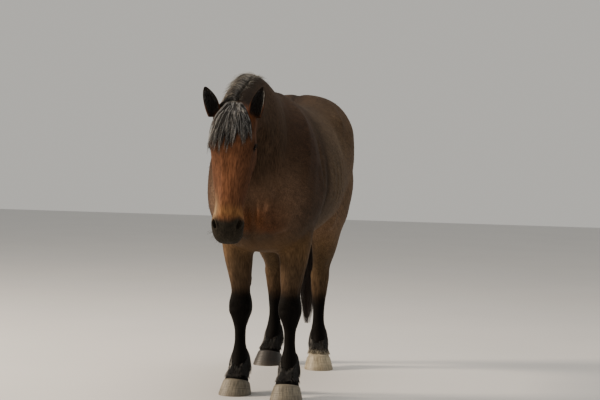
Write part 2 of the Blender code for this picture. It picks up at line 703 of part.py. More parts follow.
def ellipsoid(name, middle, radii, turn, segments, helpers):
    """A sphere stretched to three radii, turned by a matrix and set at its middle."""
    bm = bmesh.new()
    bmesh.ops.create_uvsphere(bm, u_segments=segments, v_segments=segments // 2, radius=1)
    size = Matrix.Diagonal((*radii, 1))
    bmesh.ops.transform(bm, verts=bm.verts, matrix=Matrix.Translation(middle) @ turn @ size)
    bmesh.ops.recalc_face_normals(bm, faces=bm.faces)
    mesh = bpy.data.meshes.new(name)
    bm.to_mesh(mesh)
    bm.free()
    return new_object(name, mesh, helpers)


def eye_middles(tree):
    """The middle of each eyeball, sunk below the skin of the head's side."""
    middles = {}
    for name, side in (("eye_left", 1), ("eye_right", -1)):
        start = head_point(side * 0.3, EYE_OUT, EYE_DOWN)
        inward = head_matrix().to_3x3() @ Vector((-side, 0, 0))
        skin, normal, _, _ = tree.ray_cast(start, inward)
        middles[name] = skin - normal * EYE_SUNK
    return middles


def finished_head(head, tree, helpers):
    """The head with lids round the eyes, nostrils and the line of the mouth."""
    frame = head_matrix().to_3x3().to_4x4()
    middles = eye_middles(tree).values()
    plain = Matrix.Identity(4)
    lid = (LID_RADIUS,) * 3
    lids = [ellipsoid("lid", middle, lid, frame, EYE_SEGMENTS, helpers) for middle in middles]
    head = combined(head, "UNION", lids, helpers)
    cuts = []
    opening = frame @ Matrix.Rotation(EYE_TILT, 4, "X")
    for middle in middles:
        across = (middle - head_point(0, 0, EYE_DOWN)).normalized()
        at = middle + across * LID_RADIUS * 0.5
        cuts.append(ellipsoid("opening", at, EYE_OPENING, opening, EYE_SEGMENTS, helpers))
    head = combined(head, "DIFFERENCE", cuts, helpers)
    socket = (EYE_RADIUS + SOCKET_GAP,) * 3
    sockets = [ellipsoid("socket", middle, socket, plain, EYE_SEGMENTS, helpers) for middle in middles]
    head = combined(head, "DIFFERENCE", sockets, helpers)
    nostrils = []
    for side in (1, -1):
        slant = Matrix.Rotation(side * NOSTRIL_SLANT, 4, "Y")
        turn = frame @ slant @ Matrix.Rotation(side * NOSTRIL_FACING, 4, "Z")
        at = head_point(side * NOSTRIL[0], NOSTRIL[1], NOSTRIL[2])
        nostrils.append(ellipsoid("nostril", at, NOSTRIL_RADII, turn, NOSTRIL_SEGMENTS, helpers))
    head = combined(head, "DIFFERENCE", nostrils, helpers)
    return combined(head, "DIFFERENCE", [mouth_slit(helpers)], helpers)


def mouth_slit(helpers):
    """A thin block across the head, from the front of the lips to the corner of the mouth."""
    front, corner = (head_point(0, out, down) for out, down in MOUTH)
    along = front - corner
    turn = along.to_track_quat("Y", "Z").to_matrix().to_4x4()
    size = Matrix.Diagonal((MOUTH_WIDTH, along.length, MOUTH_GAP, 1))
    place = Matrix.Translation((front + corner) / 2)
    slit = bmesh.new()
    bmesh.ops.create_cube(slit, size=1)
    bmesh.ops.transform(slit, verts=slit.verts, matrix=place @ turn @ size)
    mesh = bpy.data.meshes.new("mouth")
    slit.to_mesh(mesh)
    slit.free()
    return new_object("mouth", mesh, helpers)


def ear_mesh(name, side):
    """A cupped leaf with a wall: a grid up the ear and round its open cup, folded at the root."""
    up, around = np.meshgrid(np.linspace(0, 1, 8), np.linspace(-1, 1, 8), indexing="ij")
    half = EAR_WIDTH / 2 * np.sin(np.pi * (0.30 + 0.70 * up) ** 1.15) ** 0.75 * 1.02 + 0.002
    bend = EAR_CUP * (1 - 0.45 * up)
    angle = around * bend
    radius = half / np.sin(np.minimum(bend, math.pi / 2))
    x = radius * np.sin(angle)
    y = radius * (1 - np.cos(angle)) - EAR_CURL * up**2
    z = EAR_LENGTH * up
    outer = np.stack([x, y, z], axis=-1)
    lean = Matrix.Rotation(side * EAR_LEAN[side], 3, "Y")
    forward = Matrix.Rotation(EAR_FORWARD, 3, "X")
    twist = Matrix.Rotation(side * EAR_TWIST[side], 3, "Z")
    frame = head_matrix().to_3x3() @ lean @ forward @ twist
    root = head_point(side * EAR_ROOT[0], EAR_ROOT[1], EAR_ROOT[2])
    points = outer @ np.array(frame).T + np.array(root)
    rows, columns = up.shape
    i = np.arange(rows - 1)[:, None] * columns
    j = np.arange(columns - 1)[None, :]
    quads = np.stack([i + j, i + j + 1, i + columns + j + 1, i + columns + j], axis=-1).reshape(-1, 4)
    mesh = bpy.data.meshes.new(name)
    mesh.from_pydata(points.reshape(-1, 3).tolist(), [], quads.tolist())
    return mesh


def eared(name, side, helpers):
    obj = new_object(name, ear_mesh(name, side), helpers)
    wall = obj.modifiers.new("wall", "SOLIDIFY")
    wall.thickness = EAR_WALL
    wall.offset = 0
    mesh = evaluated_mesh(obj)
    bpy.data.objects.remove(obj)
    face_outwards(mesh)
    return mesh


def combed(tree, root, pull, length, lift, steps):
    """A path of hair: from its root it follows the pull, and is held off the body by the lift."""
    points = [Vector(root)]
    for k in range(steps):
        point = points[-1] + Vector(pull((k + 0.5) / steps)).normalized() * (length / steps)
        near, normal, _, _ = tree.find_nearest(point)
        above = (point - near).dot(normal)
        if above < lift:
            point = near + normal * lift
        points.append(point)
    normals = [tree.find_nearest(p)[1] for p in points]
    return np.array(points), np.array(normals)


def lock_rings(path, outward, width, thickness):
    """A flat lock along a path: a four-cornered section, full near its root and thin at its tip."""
    t = np.linspace(0, 1, len(path))[:, None]
    tangent = np.gradient(path, axis=0)
    tangent /= np.linalg.norm(tangent, axis=1)[:, None]
    across = np.cross(tangent, outward)
    across /= np.linalg.norm(across, axis=1)[:, None]
    out = np.cross(across, tangent)
    full = np.minimum(1, 0.55 + 1.8 * t) * (1 - t**2.2) + 0.03
    half_width = width / 2 * full
    half_depth = thickness / 2 * (1 - t**1.5) + 0.0008
    corners = [across * half_width, out * half_depth, -across * half_width, -out * half_depth]
    return np.stack([path + c for c in corners], axis=1)


def tube_rings(path, radii_across, radii_deep, sides):
    """A tube of rings square to X and the path, for a core."""
    tangent = np.gradient(path, axis=0)
    tangent /= np.linalg.norm(tangent, axis=1)[:, None]
    left = np.tile((1.0, 0.0, 0.0), (len(path), 1))
    deep = np.cross(tangent, left)
    deep /= np.linalg.norm(deep, axis=1)[:, None]
    angle = np.linspace(0, 2 * math.pi, sides, endpoint=False)[None, :, None]
    ring = left[:, None] * np.cos(angle) * radii_across[:, None, None]
    return path[:, None] + ring + deep[:, None] * np.sin(angle) * radii_deep[:, None, None]


def crest_point(tree, y, sink):
    """The top of the neck at y, sunk below the skin."""
    skin, _, _, _ = tree.ray_cast(Vector((float(neck_bend(y)), y, 2.5)), Vector((0, 0, -1)))
    return skin - Vector((0, 0, sink))


def mane_pieces(tree, rng):
    """The roll along the crest and the locks that fall from it over the right side."""
    places = np.linspace(MANE_FROM, MANE_TO, 15)
    spine = np.array([crest_point(tree, y, MANE_ROLL * 0.4) for y in places])
    thick = MANE_ROLL * np.sin(np.pi * np.linspace(0.10, 0.92, len(places))) ** 0.35
    along_crest = np.gradient(spine, axis=0)
    along_crest /= np.linalg.norm(along_crest, axis=1)[:, None]
    angle = np.linspace(0, 2 * math.pi, CORE_SIDES, endpoint=False)[None, :, None]
    left = np.tile((1.0, 0.0, 0.0), (len(places), 1))
    above = np.cross(along_crest, left)
    ring = left[:, None] * np.cos(angle) + above[:, None] * np.sin(angle)
    yield spine[:, None] + ring * thick[:, None, None]
    for k in range(MANE_LOCKS):
        share = (k + 0.5) / MANE_LOCKS
        y = MANE_FROM + (MANE_TO - MANE_FROM) * share + rng.uniform(-0.008, 0.008)
        root = crest_point(tree, y, MANE_ROLL * 0.6)
        drift = rng.uniform(-0.10, 0.16)
        length = rng.uniform(*MANE_LENGTH) * (0.75 + 0.25 * math.sin(math.pi * share))

        def pull(t, drift=drift):
            return (-max(0.0, 0.9 - 3.5 * t), drift, 0.15 - 3.0 * t if t < 0.2 else -1.0)

        path, outward = combed(tree, root, pull, length, MANE_LIFT, 5)
        width = rng.uniform(0.092, 0.114)
        yield lock_rings(path, outward, width, rng.uniform(0.016, 0.022))


def forelock_pieces(tree, rng):
    """The tuft between the ears and the locks that fan from it down the forehead."""
    rows = np.array(FORELOCK_KNOT)
    knot = np.array([head_point(0, out, down) for out, down in rows[:, :2]])
    yield tube_rings(knot, rows[:, 2], rows[:, 3], CORE_SIDES)
    for k in range(FORELOCK_LOCKS):
        share = (k + 0.5) / FORELOCK_LOCKS * 2 - 1
        root = head_point(share * 0.024, -0.006, 0.000 + 0.012 * (k % 2))
        down = head_matrix().to_3x3() @ Vector((share * FORELOCK_FAN, 0.10, -1))
        along = head_matrix().to_3x3() @ Vector((share * 0.16 + rng.uniform(-0.05, 0.05), -0.02, -1))

        def pull(t, down=down, along=along):
            return down.lerp(along, min(1.0, 1.5 * t))

        length = rng.uniform(*FORELOCK_LENGTH) * (1 - 0.25 * abs(share))
        path, outward = combed(tree, root, pull, length, FORELOCK_LIFT + 0.005 * (k % 2), 6)
        yield lock_rings(path, outward, rng.uniform(0.028, 0.038), rng.uniform(0.009, 0.013))


def tail_line(t):
    """The middle of the tail: out from the dock, over and straight down."""
    rows = np.array(TAIL)
    return curve(rows[:, 0], rows[:, 1:4], np.atleast_1d(t))


def tail_radii(t):
    rows = np.array(TAIL)
    return curve(rows[:, 0], rows[:, 4:6], np.atleast_1d(t))


def tail_pieces(rng):
    """The dock and its core of hair, and the locks that hang round and past it."""
    t = np.linspace(0, TAIL_CORE, 10)
    radii = tail_radii(t) * 0.92 * np.sqrt(np.clip(1.04 - (t[:, None] / TAIL_CORE) ** 3, 0, 1))
    yield tube_rings(tail_line(t), radii[:, 0], radii[:, 1], CORE_SIDES)
    for k in range(TAIL_LOCKS):
        around = 2.399963 * k + rng.uniform(-0.2, 0.2)
        start = rng.uniform(0.03, 0.36)
        stop = min(1.0, start + rng.uniform(0.45, 0.72)) if k % 3 else rng.uniform(0.86, 1.0)
        at = np.linspace(start, stop, 7)
        radial = np.stack([np.full(7, math.cos(around)), np.full(7, math.sin(around)), np.zeros(7)], axis=1)
        spread = tail_radii(at) * np.linspace(0.55, rng.uniform(0.55, 1.0), 7)[:, None]
        sway = rng.uniform(-0.010, 0.010, 2) * np.sin(np.linspace(0, 5, 7))[:, None]
        path = tail_line(at)
        path[:, :2] += radial[:, :2] * spread + sway
        yield lock_rings(path, radial, rng.uniform(0.076, 0.100), rng.uniform(0.020, 0.030))


def feather_pieces(leg, tree, rng):
    """Locks from behind the fetlock and round the coronet, hanging over the hoof."""
    middle, _ = coronet_plane(leg)
    for height, count, first, last, length, lean in FEATHER:
        for k in range(count):
            turn = math.radians(first + (last - first) * k / (count - 1))
            direction = Vector((math.sin(turn), math.cos(turn), 0))
            heart = Vector((middle[0], middle[1] + FEATHER_HEART * height, height))
            skin, normal, _, _ = tree.ray_cast(heart + direction * 0.4, -direction, 0.39)
            if skin is None:
                continue
            behind = 0.5 + 0.5 * math.cos(turn)
            reach = length * (0.55 + 0.45 * behind) * rng.uniform(0.85, 1.15)

            def pull(t, out=direction, lean=lean):
                return (out.x * lean * (1 - t), out.y * lean * (1 - t), -1)

            path, _ = combed(tree, skin - direction * 0.012, pull, reach, FEATHER_LIFT, 4)
            path[:, 2] = np.maximum(path[:, 2], FLOOR_CLEAR)
            outward = np.tile(direction, (len(path), 1))
            yield lock_rings(path, outward, rng.uniform(0.042, 0.054), rng.uniform(0.012, 0.016))


def fused_locks(name, pieces, cutter, helpers, base=None):
    """The locks joined to one another and to a base, if any, and cut clear of the body."""
    meshes = [mesh_of_rings(name, rings) for rings in pieces]
    objects = [new_object(f"{name}_{k}", mesh, helpers) for k, mesh in enumerate(meshes)]
    if base is None:
        first = objects.pop(0)
        base = first.data.copy()
        bpy.data.objects.remove(first)
    mesh = combined(base, "UNION", objects, helpers, "MANIFOLD")
    if cutter is not None:
        clear = new_object("clear", cutter.copy(), helpers)
        mesh = combined(mesh, "DIFFERENCE", [clear], helpers, "MANIFOLD")
    return mesh


def grown(mesh, amount):
    """A copy of the mesh with its surface moved out by the amount."""
    bigger = mesh.copy()
    points, normals = points_and_normals(bigger)
    set_points(bigger, points + normals * amount)
    return bigger


def hoof_mesh(leg, margin=0.0):
    """The hoof, or the hoof grown by a margin all round but for its level sole."""
    rings = hoof_rings(leg)
    heart = rings.mean(axis=1, keepdims=True)
    off = rings - heart
    reach = np.linalg.norm(off, axis=2, keepdims=True)
    return mesh_of_rings("hoof", heart + off * (1 + margin / reach))


def tree_with_hooves(body):
    """A search tree over the body and the hooves, for hair that hangs over both."""
    bm = bmesh.new()
    bm.from_mesh(body)
    for leg in LEGS:
        bm.from_mesh(hoof_mesh(leg))
    tree = BVHTree.FromBMesh(bm)
    bm.free()
    return tree


def material(name):
    colour, roughness = MATERIALS[name]
    found = bpy.data.materials.get(name)
    if found:
        return found
    made = bpy.data.materials.new(name)
    made.use_nodes = True
    surface = made.node_tree.nodes["Principled BSDF"]
    surface.inputs["Base Color"].default_value = (*colour, 1)
    surface.inputs["Roughness"].default_value = roughness
    made.diffuse_color = (*colour, 1)
    return made


def finished(name, mesh, finish, horse):
    """The finished part in its own material, shaded smooth."""
    mesh = mesh.copy()
    mesh.name = name
    mesh.materials.clear()
    mesh.materials.append(material(finish))
    mesh.shade_smooth()
    mesh.set_sharp_from_angle(angle=math.radians(40))
    return new_object(name, mesh, horse)


def centred(horse):
    """Moves the whole horse so that its origin is on the floor, under the middle of its box."""
    points = np.concatenate([points_and_normals(obj.data)[0] for obj in horse.objects])
    low, high = points.min(axis=0), points.max(axis=0)
    shift = Matrix.Translation((-(low[0] + high[0]) / 2, -(low[1] + high[1]) / 2, -low[2]))
    for obj in horse.objects:
        obj.data.transform(shift)


def collection(name):
    made = bpy.data.collections.new(name)
    bpy.context.scene.collection.children.link(made)
    return made


def build():
    for obj in list(bpy.data.objects):
        bpy.data.objects.remove(obj)
    horse = collection("draft_cross_horse")
    helpers = collection("cutters")

    body = fused_body(helpers)
    points, _ = points_and_normals(body)
    tree = BVHTree.FromPolygons(points.tolist(), [p.vertices[:] for p in body.polygons])
    outer_tree = tree_with_hooves(body)
    clear = grown(body, GAP * 1.3)
    pieces = parted(body, helpers)
    pieces["head"] = finished_head(pieces["head"], tree, helpers)

    for name, middle in eye_middles(tree).items():
        ball = ellipsoid("ball", middle, (EYE_RADIUS,) * 3, Matrix.Identity(4), EYE_SEGMENTS, helpers)
        finished(name, ball.data, "eye", horse)
        bpy.data.objects.remove(ball)

    for name, side in (("ear_left", 1), ("ear_right", -1)):
        body_room = new_object("clear", clear.copy(), helpers)
        trimmed = combined(eared(name, side, helpers), "DIFFERENCE", [body_room], helpers)
        finished(name, trimmed, "black_points", horse)

    seeded = [np.random.default_rng(seed) for seed in (7, 8, 9, 10)]
    for name, locks, finish in (
        ("mane", mane_pieces(tree, seeded[0]), "mane_hair"),
        ("forelock", forelock_pieces(tree, seeded[1]), "mane_hair"),
        ("tail", tail_pieces(seeded[2]), "tail_hair"),
    ):
        finished(name, fused_locks(name, locks, clear, helpers), finish, horse)

    for leg in LEGS:
        legged = fused_locks(leg, feather_pieces(leg, outer_tree, seeded[3]), None, helpers, pieces[leg])
        hoof = new_object("hoof", hoof_mesh(leg, HOOF_CLEAR), helpers)
        legged = combined(legged, "DIFFERENCE", [hoof], helpers, "MANIFOLD")
        finished(leg, legged, "black_points", horse)
        horn = "pale_horn" if leg in PALE_HOOVES else "dark_horn"
        finished(leg.replace("leg", "hoof"), hoof_mesh(leg), horn, horse)

    for name in ("torso", "neck", "head"):
        finished(name, pieces[name], "bay_coat", horse)
    centred(horse)


build()
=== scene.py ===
# %% [markdown]
# # A draft cross horse
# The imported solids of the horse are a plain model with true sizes. This script dresses them: one
# skin takes the place of the fleshy pieces, and hair, hooves and eyes are built over it. Every
# shape is worked out as whole arrays of numbers and then handed to Blender as a mesh.

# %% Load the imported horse
import json
import math

import bmesh
import bpy
import numpy as np
from mathutils import Matrix, Vector
from mathutils.bvhtree import BVHTree
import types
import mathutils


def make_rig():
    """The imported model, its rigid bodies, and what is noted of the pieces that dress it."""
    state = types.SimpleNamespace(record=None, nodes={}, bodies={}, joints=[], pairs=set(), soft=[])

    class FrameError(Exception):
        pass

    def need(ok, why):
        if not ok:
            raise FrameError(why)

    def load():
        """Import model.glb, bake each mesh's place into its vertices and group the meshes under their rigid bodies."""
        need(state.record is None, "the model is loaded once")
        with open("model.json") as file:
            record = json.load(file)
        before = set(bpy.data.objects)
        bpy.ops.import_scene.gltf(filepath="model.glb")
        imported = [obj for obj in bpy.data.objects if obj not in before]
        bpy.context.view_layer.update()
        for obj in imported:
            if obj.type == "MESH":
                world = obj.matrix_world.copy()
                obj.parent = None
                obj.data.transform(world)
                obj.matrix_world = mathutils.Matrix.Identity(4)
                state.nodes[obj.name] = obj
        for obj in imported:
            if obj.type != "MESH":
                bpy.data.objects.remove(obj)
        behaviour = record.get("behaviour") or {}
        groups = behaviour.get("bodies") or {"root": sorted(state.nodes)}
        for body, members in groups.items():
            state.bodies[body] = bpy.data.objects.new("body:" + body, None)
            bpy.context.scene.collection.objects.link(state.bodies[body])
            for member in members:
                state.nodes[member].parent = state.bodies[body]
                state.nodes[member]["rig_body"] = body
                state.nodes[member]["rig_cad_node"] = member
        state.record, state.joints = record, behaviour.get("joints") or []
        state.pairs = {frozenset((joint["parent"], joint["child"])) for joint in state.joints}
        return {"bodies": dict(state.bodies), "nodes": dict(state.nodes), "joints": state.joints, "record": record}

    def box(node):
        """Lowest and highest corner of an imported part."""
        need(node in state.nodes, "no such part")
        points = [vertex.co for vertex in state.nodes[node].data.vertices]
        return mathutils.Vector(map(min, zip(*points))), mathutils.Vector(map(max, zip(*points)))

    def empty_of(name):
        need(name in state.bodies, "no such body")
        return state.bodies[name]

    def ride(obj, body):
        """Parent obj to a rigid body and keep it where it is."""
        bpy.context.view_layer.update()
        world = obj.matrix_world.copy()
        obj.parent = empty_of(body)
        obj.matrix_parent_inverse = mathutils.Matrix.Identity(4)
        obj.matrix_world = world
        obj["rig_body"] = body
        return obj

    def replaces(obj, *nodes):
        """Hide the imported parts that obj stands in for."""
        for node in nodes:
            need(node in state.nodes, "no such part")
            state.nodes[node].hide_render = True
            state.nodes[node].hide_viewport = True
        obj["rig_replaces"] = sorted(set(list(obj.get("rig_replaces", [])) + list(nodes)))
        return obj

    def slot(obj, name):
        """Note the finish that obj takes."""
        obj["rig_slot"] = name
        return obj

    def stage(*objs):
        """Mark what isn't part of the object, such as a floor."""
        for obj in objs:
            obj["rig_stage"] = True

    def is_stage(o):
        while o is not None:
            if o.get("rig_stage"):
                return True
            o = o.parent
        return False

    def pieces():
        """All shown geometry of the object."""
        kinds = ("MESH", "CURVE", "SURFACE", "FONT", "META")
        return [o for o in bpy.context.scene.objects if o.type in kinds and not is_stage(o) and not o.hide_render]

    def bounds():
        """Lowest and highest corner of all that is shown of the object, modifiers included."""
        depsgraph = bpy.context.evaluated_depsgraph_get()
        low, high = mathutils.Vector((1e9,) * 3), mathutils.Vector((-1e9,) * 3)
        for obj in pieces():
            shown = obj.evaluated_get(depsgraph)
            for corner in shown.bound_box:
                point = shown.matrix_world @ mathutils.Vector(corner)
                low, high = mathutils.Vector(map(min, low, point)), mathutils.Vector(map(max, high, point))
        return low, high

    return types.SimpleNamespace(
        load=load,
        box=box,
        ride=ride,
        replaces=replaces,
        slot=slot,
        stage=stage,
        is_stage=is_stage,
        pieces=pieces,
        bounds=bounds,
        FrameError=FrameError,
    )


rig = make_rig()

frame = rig.load()
cad_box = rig.bounds()
print("solids:", len(frame["nodes"]), "nodes in the box", [tuple(round(c, 3) for c in p) for p in cad_box])

# %% [markdown]
# ## Colours, nodes and meshes
# Colours are picked as sRGB hex values, as in a paint program, but light adds up in linear
# numbers, so one function turns one into the other. A second adds a shader node with its settings
# and links, and a third hands arrays of points and faces to Blender in one go.


# %% Colour, node and mesh helpers
def linear(hex_colour):
    """Linear RGB of an sRGB hex colour: c / 12.92 when dark, else ((c + 0.055) / 1.055) ** 2.4."""
    parts = np.array([int(hex_colour[k : k + 2], 16) for k in (1, 3, 5)]) / 255
    return np.where(parts <= 0.04045, parts / 12.92, ((parts + 0.055) / 1.055) ** 2.4)


def node(tree, kind, settings=(), inputs=()):
    """Adds a shader node, sets its properties, and sets its inputs or links them to outputs."""
    made = tree.nodes.new(kind)
    for key, value in dict(settings).items():
        setattr(made, key, value)
    for key, value in dict(inputs).items():
        if isinstance(value, bpy.types.NodeSocket):
            tree.links.new(value, made.inputs[key])
        else:
            made.inputs[key].default_value = value
    return made


def mesh_from_arrays(name, points, *faces):
    """A mesh of points (n, 3) and any number of face arrays (m, corners)."""
    mesh = bpy.data.meshes.new(name)
    mesh.vertices.add(len(points))
    mesh.vertices.foreach_set("co", np.ascontiguousarray(points, np.float32).ravel())
    corners = np.concatenate([f.ravel() for f in faces]).astype(np.int32)
    sizes = np.concatenate([np.full(len(f), f.shape[1]) for f in faces])
    mesh.loops.add(len(corners))
    mesh.loops.foreach_set("vertex_index", corners)
    mesh.polygons.add(len(sizes))
    mesh.polygons.foreach_set("loop_start", (np.cumsum(sizes) - sizes).astype(np.int32))
    mesh.update(calc_edges=True)
    mesh.validate()
    return mesh


def new_object(name, mesh):
    """An object with the mesh, in the scene, at the origin."""
    obj = bpy.data.objects.new(name, mesh)
    bpy.context.scene.collection.objects.link(obj)
    return obj


def smoothstep(low, high, value):
    """0 below low, 1 above high, and t * t * (3 - 2t) between them."""
    t = np.clip((value - low) / (high - low), 0, 1)
    return t * t * (3 - 2 * t)


# %% [markdown]
# ## The body's lines
# A horse's body is drawn by two lines: the back and the belly, the crest and the throat, the face
# and the jaw. Each row below gives both lines at one place and the half width there. They are the
# same rows as the solids', so the skin can't drift from them.

# %% Rows of the torso and the neck
# Torso: y, top line, belly line, half width, height of the widest place as a share of the depth
# from the top, and how square the upper and lower halves are (2 is an ellipse).
TORSO = (
    (-0.915, 1.170, 1.010, 0.100, 0.50, 2.0, 2.0),
    (-0.890, 1.250, 0.940, 0.175, 0.50, 2.1, 2.0),
    (-0.830, 1.360, 0.870, 0.235, 0.50, 2.2, 2.1),
    (-0.740, 1.470, 0.825, 0.275, 0.52, 2.3, 2.2),
    (-0.620, 1.580, 0.800, 0.292, 0.54, 2.2, 2.4),
    (-0.500, 1.655, 0.790, 0.298, 0.56, 2.0, 2.4),
    (-0.400, 1.680, 0.795, 0.306, 0.56, 1.8, 2.1),
    (-0.280, 1.660, 0.808, 0.320, 0.56, 1.9, 1.9),
    (-0.120, 1.632, 0.815, 0.336, 0.56, 2.1, 1.85),
    (0.050, 1.620, 0.818, 0.346, 0.55, 2.2, 1.85),
    (0.200, 1.628, 0.828, 0.346, 0.53, 2.3, 1.9),
    (0.340, 1.654, 0.855, 0.344, 0.50, 2.5, 2.0),
    (0.480, 1.686, 0.890, 0.345, 0.48, 2.6, 2.2),
    (0.600, 1.685, 0.930, 0.342, 0.48, 2.6, 2.2),
    (0.700, 1.640, 0.960, 0.318, 0.48, 2.5, 2.2),
    (0.790, 1.565, 1.020, 0.255, 0.48, 2.2, 2.2),
    (0.850, 1.470, 1.120, 0.175, 0.48, 2.1, 2.1),
    (0.875, 1.380, 1.220, 0.080, 0.50, 2.0, 2.0),
)

# Neck: crest y and z, throat y and z, half width, widest place, squareness above and below.
NECK = (
    (-0.340, 1.590, -0.680, 0.950, 0.220, 0.62, 1.7, 2.3),
    (-0.470, 1.672, -0.840, 1.020, 0.205, 0.62, 1.7, 2.3),
    (-0.600, 1.700, -0.925, 1.110, 0.180, 0.62, 1.7, 2.3),
    (-0.730, 1.726, -0.965, 1.190, 0.156, 0.60, 1.7, 2.2),
    (-0.860, 1.742, -0.995, 1.270, 0.136, 0.58, 1.7, 2.1),
    (-0.980, 1.706, -1.015, 1.345, 0.120, 0.56, 1.7, 2.0),
    (-1.090, 1.655, -1.035, 1.400, 0.110, 0.54, 1.8, 2.0),
    (-1.170, 1.603, -1.070, 1.425, 0.102, 0.50, 1.9, 2.0),
    (-1.225, 1.560, -1.130, 1.410, 0.085, 0.50, 2.0, 2.0),
)

# %% Rows of the head
# Head: distance down the face from the poll, face line, jaw line (both measured out from a
# straight line down the face), half width, widest place, squareness above and below.
HEAD = (
    (-0.030, -0.055, -0.120, 0.074, 0.50, 2.2, 2.0),
    (0.000, -0.020, -0.155, 0.107, 0.40, 2.5, 2.0),
    (0.050, 0.002, -0.200, 0.113, 0.30, 2.6, 2.0),
    (0.120, 0.012, -0.245, 0.113, 0.25, 2.8, 2.0),
    (0.200, 0.012, -0.278, 0.112, 0.22, 3.0, 2.1),
    (0.270, 0.006, -0.280, 0.107, 0.25, 2.8, 2.1),
    (0.340, 0.001, -0.250, 0.096, 0.30, 2.4, 2.1),
    (0.410, 0.000, -0.210, 0.084, 0.35, 2.2, 2.1),
    (0.480, -0.001, -0.175, 0.074, 0.40, 2.1, 2.2),
    (0.540, -0.004, -0.158, 0.072, 0.45, 2.1, 2.3),
    (0.590, -0.012, -0.155, 0.076, 0.45, 2.2, 2.4),
    (0.630, -0.026, -0.155, 0.077, 0.45, 2.3, 2.5),
    (0.662, -0.044, -0.146, 0.070, 0.50, 2.3, 2.4),
    (0.686, -0.068, -0.130, 0.048, 0.50, 2.0, 2.0),
)
POLL = Vector((-0.049, -1.235, 1.575))
HEAD_PITCH = math.radians(16)
HEAD_TURN = math.radians(1.5)

# %% Rows of the legs
# Front leg: height, front edge and back edge from the cannon's axis, half width, distance of
# the leg's middle from the body's middle, squareness before and behind.
FRONT_LEG = (
    (1.180, -0.110, 0.110, 0.055, 0.180, 2.2, 2.2),
    (1.080, -0.140, 0.150, 0.078, 0.175, 2.2, 2.2),
    (0.980, -0.142, 0.152, 0.090, 0.170, 2.2, 2.2),
    (0.900, -0.128, 0.128, 0.092, 0.168, 2.2, 2.2),
    (0.820, -0.110, 0.100, 0.088, 0.164, 2.2, 2.2),
    (0.730, -0.092, 0.078, 0.078, 0.157, 2.2, 2.2),
    (0.640, -0.076, 0.066, 0.065, 0.150, 2.2, 2.2),
    (0.560, -0.062, 0.056, 0.056, 0.146, 2.3, 2.3),
    (0.505, -0.067, 0.060, 0.066, 0.146, 2.5, 2.4),
    (0.460, -0.068, 0.066, 0.067, 0.147, 2.5, 2.3),
    (0.415, -0.055, 0.060, 0.051, 0.148, 2.4, 2.1),
    (0.370, -0.042, 0.050, 0.038, 0.149, 2.2, 2.0),
    (0.310, -0.038, 0.047, 0.034, 0.149, 2.2, 2.0),
    (0.260, -0.039, 0.050, 0.037, 0.150, 2.2, 2.0),
    (0.220, -0.047, 0.060, 0.047, 0.150, 2.2, 2.0),
    (0.190, -0.056, 0.062, 0.049, 0.150, 2.2, 2.0),
    (0.160, -0.072, 0.048, 0.045, 0.150, 2.2, 2.0),
    (0.128, -0.098, 0.022, 0.048, 0.150, 2.2, 2.1),
    (0.100, -0.125, 0.006, 0.062, 0.150, 2.2, 2.2),
    (0.070, -0.140, 0.000, 0.070, 0.150, 2.2, 2.3),
    (0.040, -0.150, -0.005, 0.070, 0.150, 2.2, 2.3),
)
FRONT_AXIS = -0.470

# Hind leg: as the front leg, from the hind cannon's axis.
HIND_LEG = (
    (1.340, -0.340, 0.100, 0.120, 0.175, 2.2, 2.2),
    (1.220, -0.385, 0.115, 0.155, 0.178, 2.2, 2.2),
    (1.100, -0.420, 0.105, 0.158, 0.176, 2.2, 2.2),
    (1.010, -0.425, 0.085, 0.142, 0.176, 2.2, 2.2),
    (0.940, -0.405, 0.062, 0.124, 0.178, 2.2, 2.2),
    (0.880, -0.360, 0.042, 0.102, 0.174, 2.2, 2.1),
    (0.820, -0.300, 0.028, 0.089, 0.167, 2.2, 2.0),
    (0.760, -0.240, 0.026, 0.079, 0.160, 2.2, 1.8),
    (0.700, -0.180, 0.042, 0.068, 0.148, 2.2, 1.6),
    (0.655, -0.138, 0.074, 0.059, 0.136, 2.2, 1.6),
    (0.620, -0.102, 0.078, 0.055, 0.127, 2.3, 1.7),
    (0.570, -0.076, 0.066, 0.058, 0.122, 2.4, 1.8),
    (0.520, -0.060, 0.052, 0.056, 0.119, 2.4, 1.9),
    (0.465, -0.048, 0.046, 0.050, 0.117, 2.3, 1.9),
    (0.410, -0.043, 0.044, 0.044, 0.116, 2.2, 2.0),
    (0.340, -0.040, 0.043, 0.038, 0.116, 2.2, 2.0),
    (0.285, -0.041, 0.046, 0.039, 0.116, 2.2, 2.0),
    (0.240, -0.050, 0.056, 0.047, 0.117, 2.2, 2.0),
    (0.205, -0.060, 0.058, 0.050, 0.118, 2.2, 2.0),
    (0.170, -0.076, 0.042, 0.046, 0.118, 2.2, 2.0),
    (0.135, -0.102, 0.018, 0.048, 0.118, 2.2, 2.1),
    (0.100, -0.128, 0.004, 0.062, 0.118, 2.2, 2.2),
    (0.070, -0.142, -0.002, 0.070, 0.118, 2.2, 2.3),
    (0.040, -0.152, -0.006, 0.070, 0.118, 2.2, 2.3),
)
HIND_AXIS = 0.750

# Each leg: side, rows, axis, how far the foot stands behind its neutral place and how far
# outside it, and the degrees that the toe turns out.
LEGS = {
    "front_leg_left": (1, FRONT_LEG, FRONT_AXIS, -0.060, 0.000, 3),
    "front_leg_right": (-1, FRONT_LEG, FRONT_AXIS, 0.065, -0.006, 5),
    "hind_leg_left": (1, HIND_LEG, HIND_AXIS, 0.015, 0.004, 12),
    "hind_leg_right": (-1, HIND_LEG, HIND_AXIS, 0.130, 0.062, 10),
}
LEAN_TOP = 1.05
LEAN_END = {"front": 0.0, "hind": 0.60}
TURN_TOP = 0.26
TURN_BOTTOM = 0.17

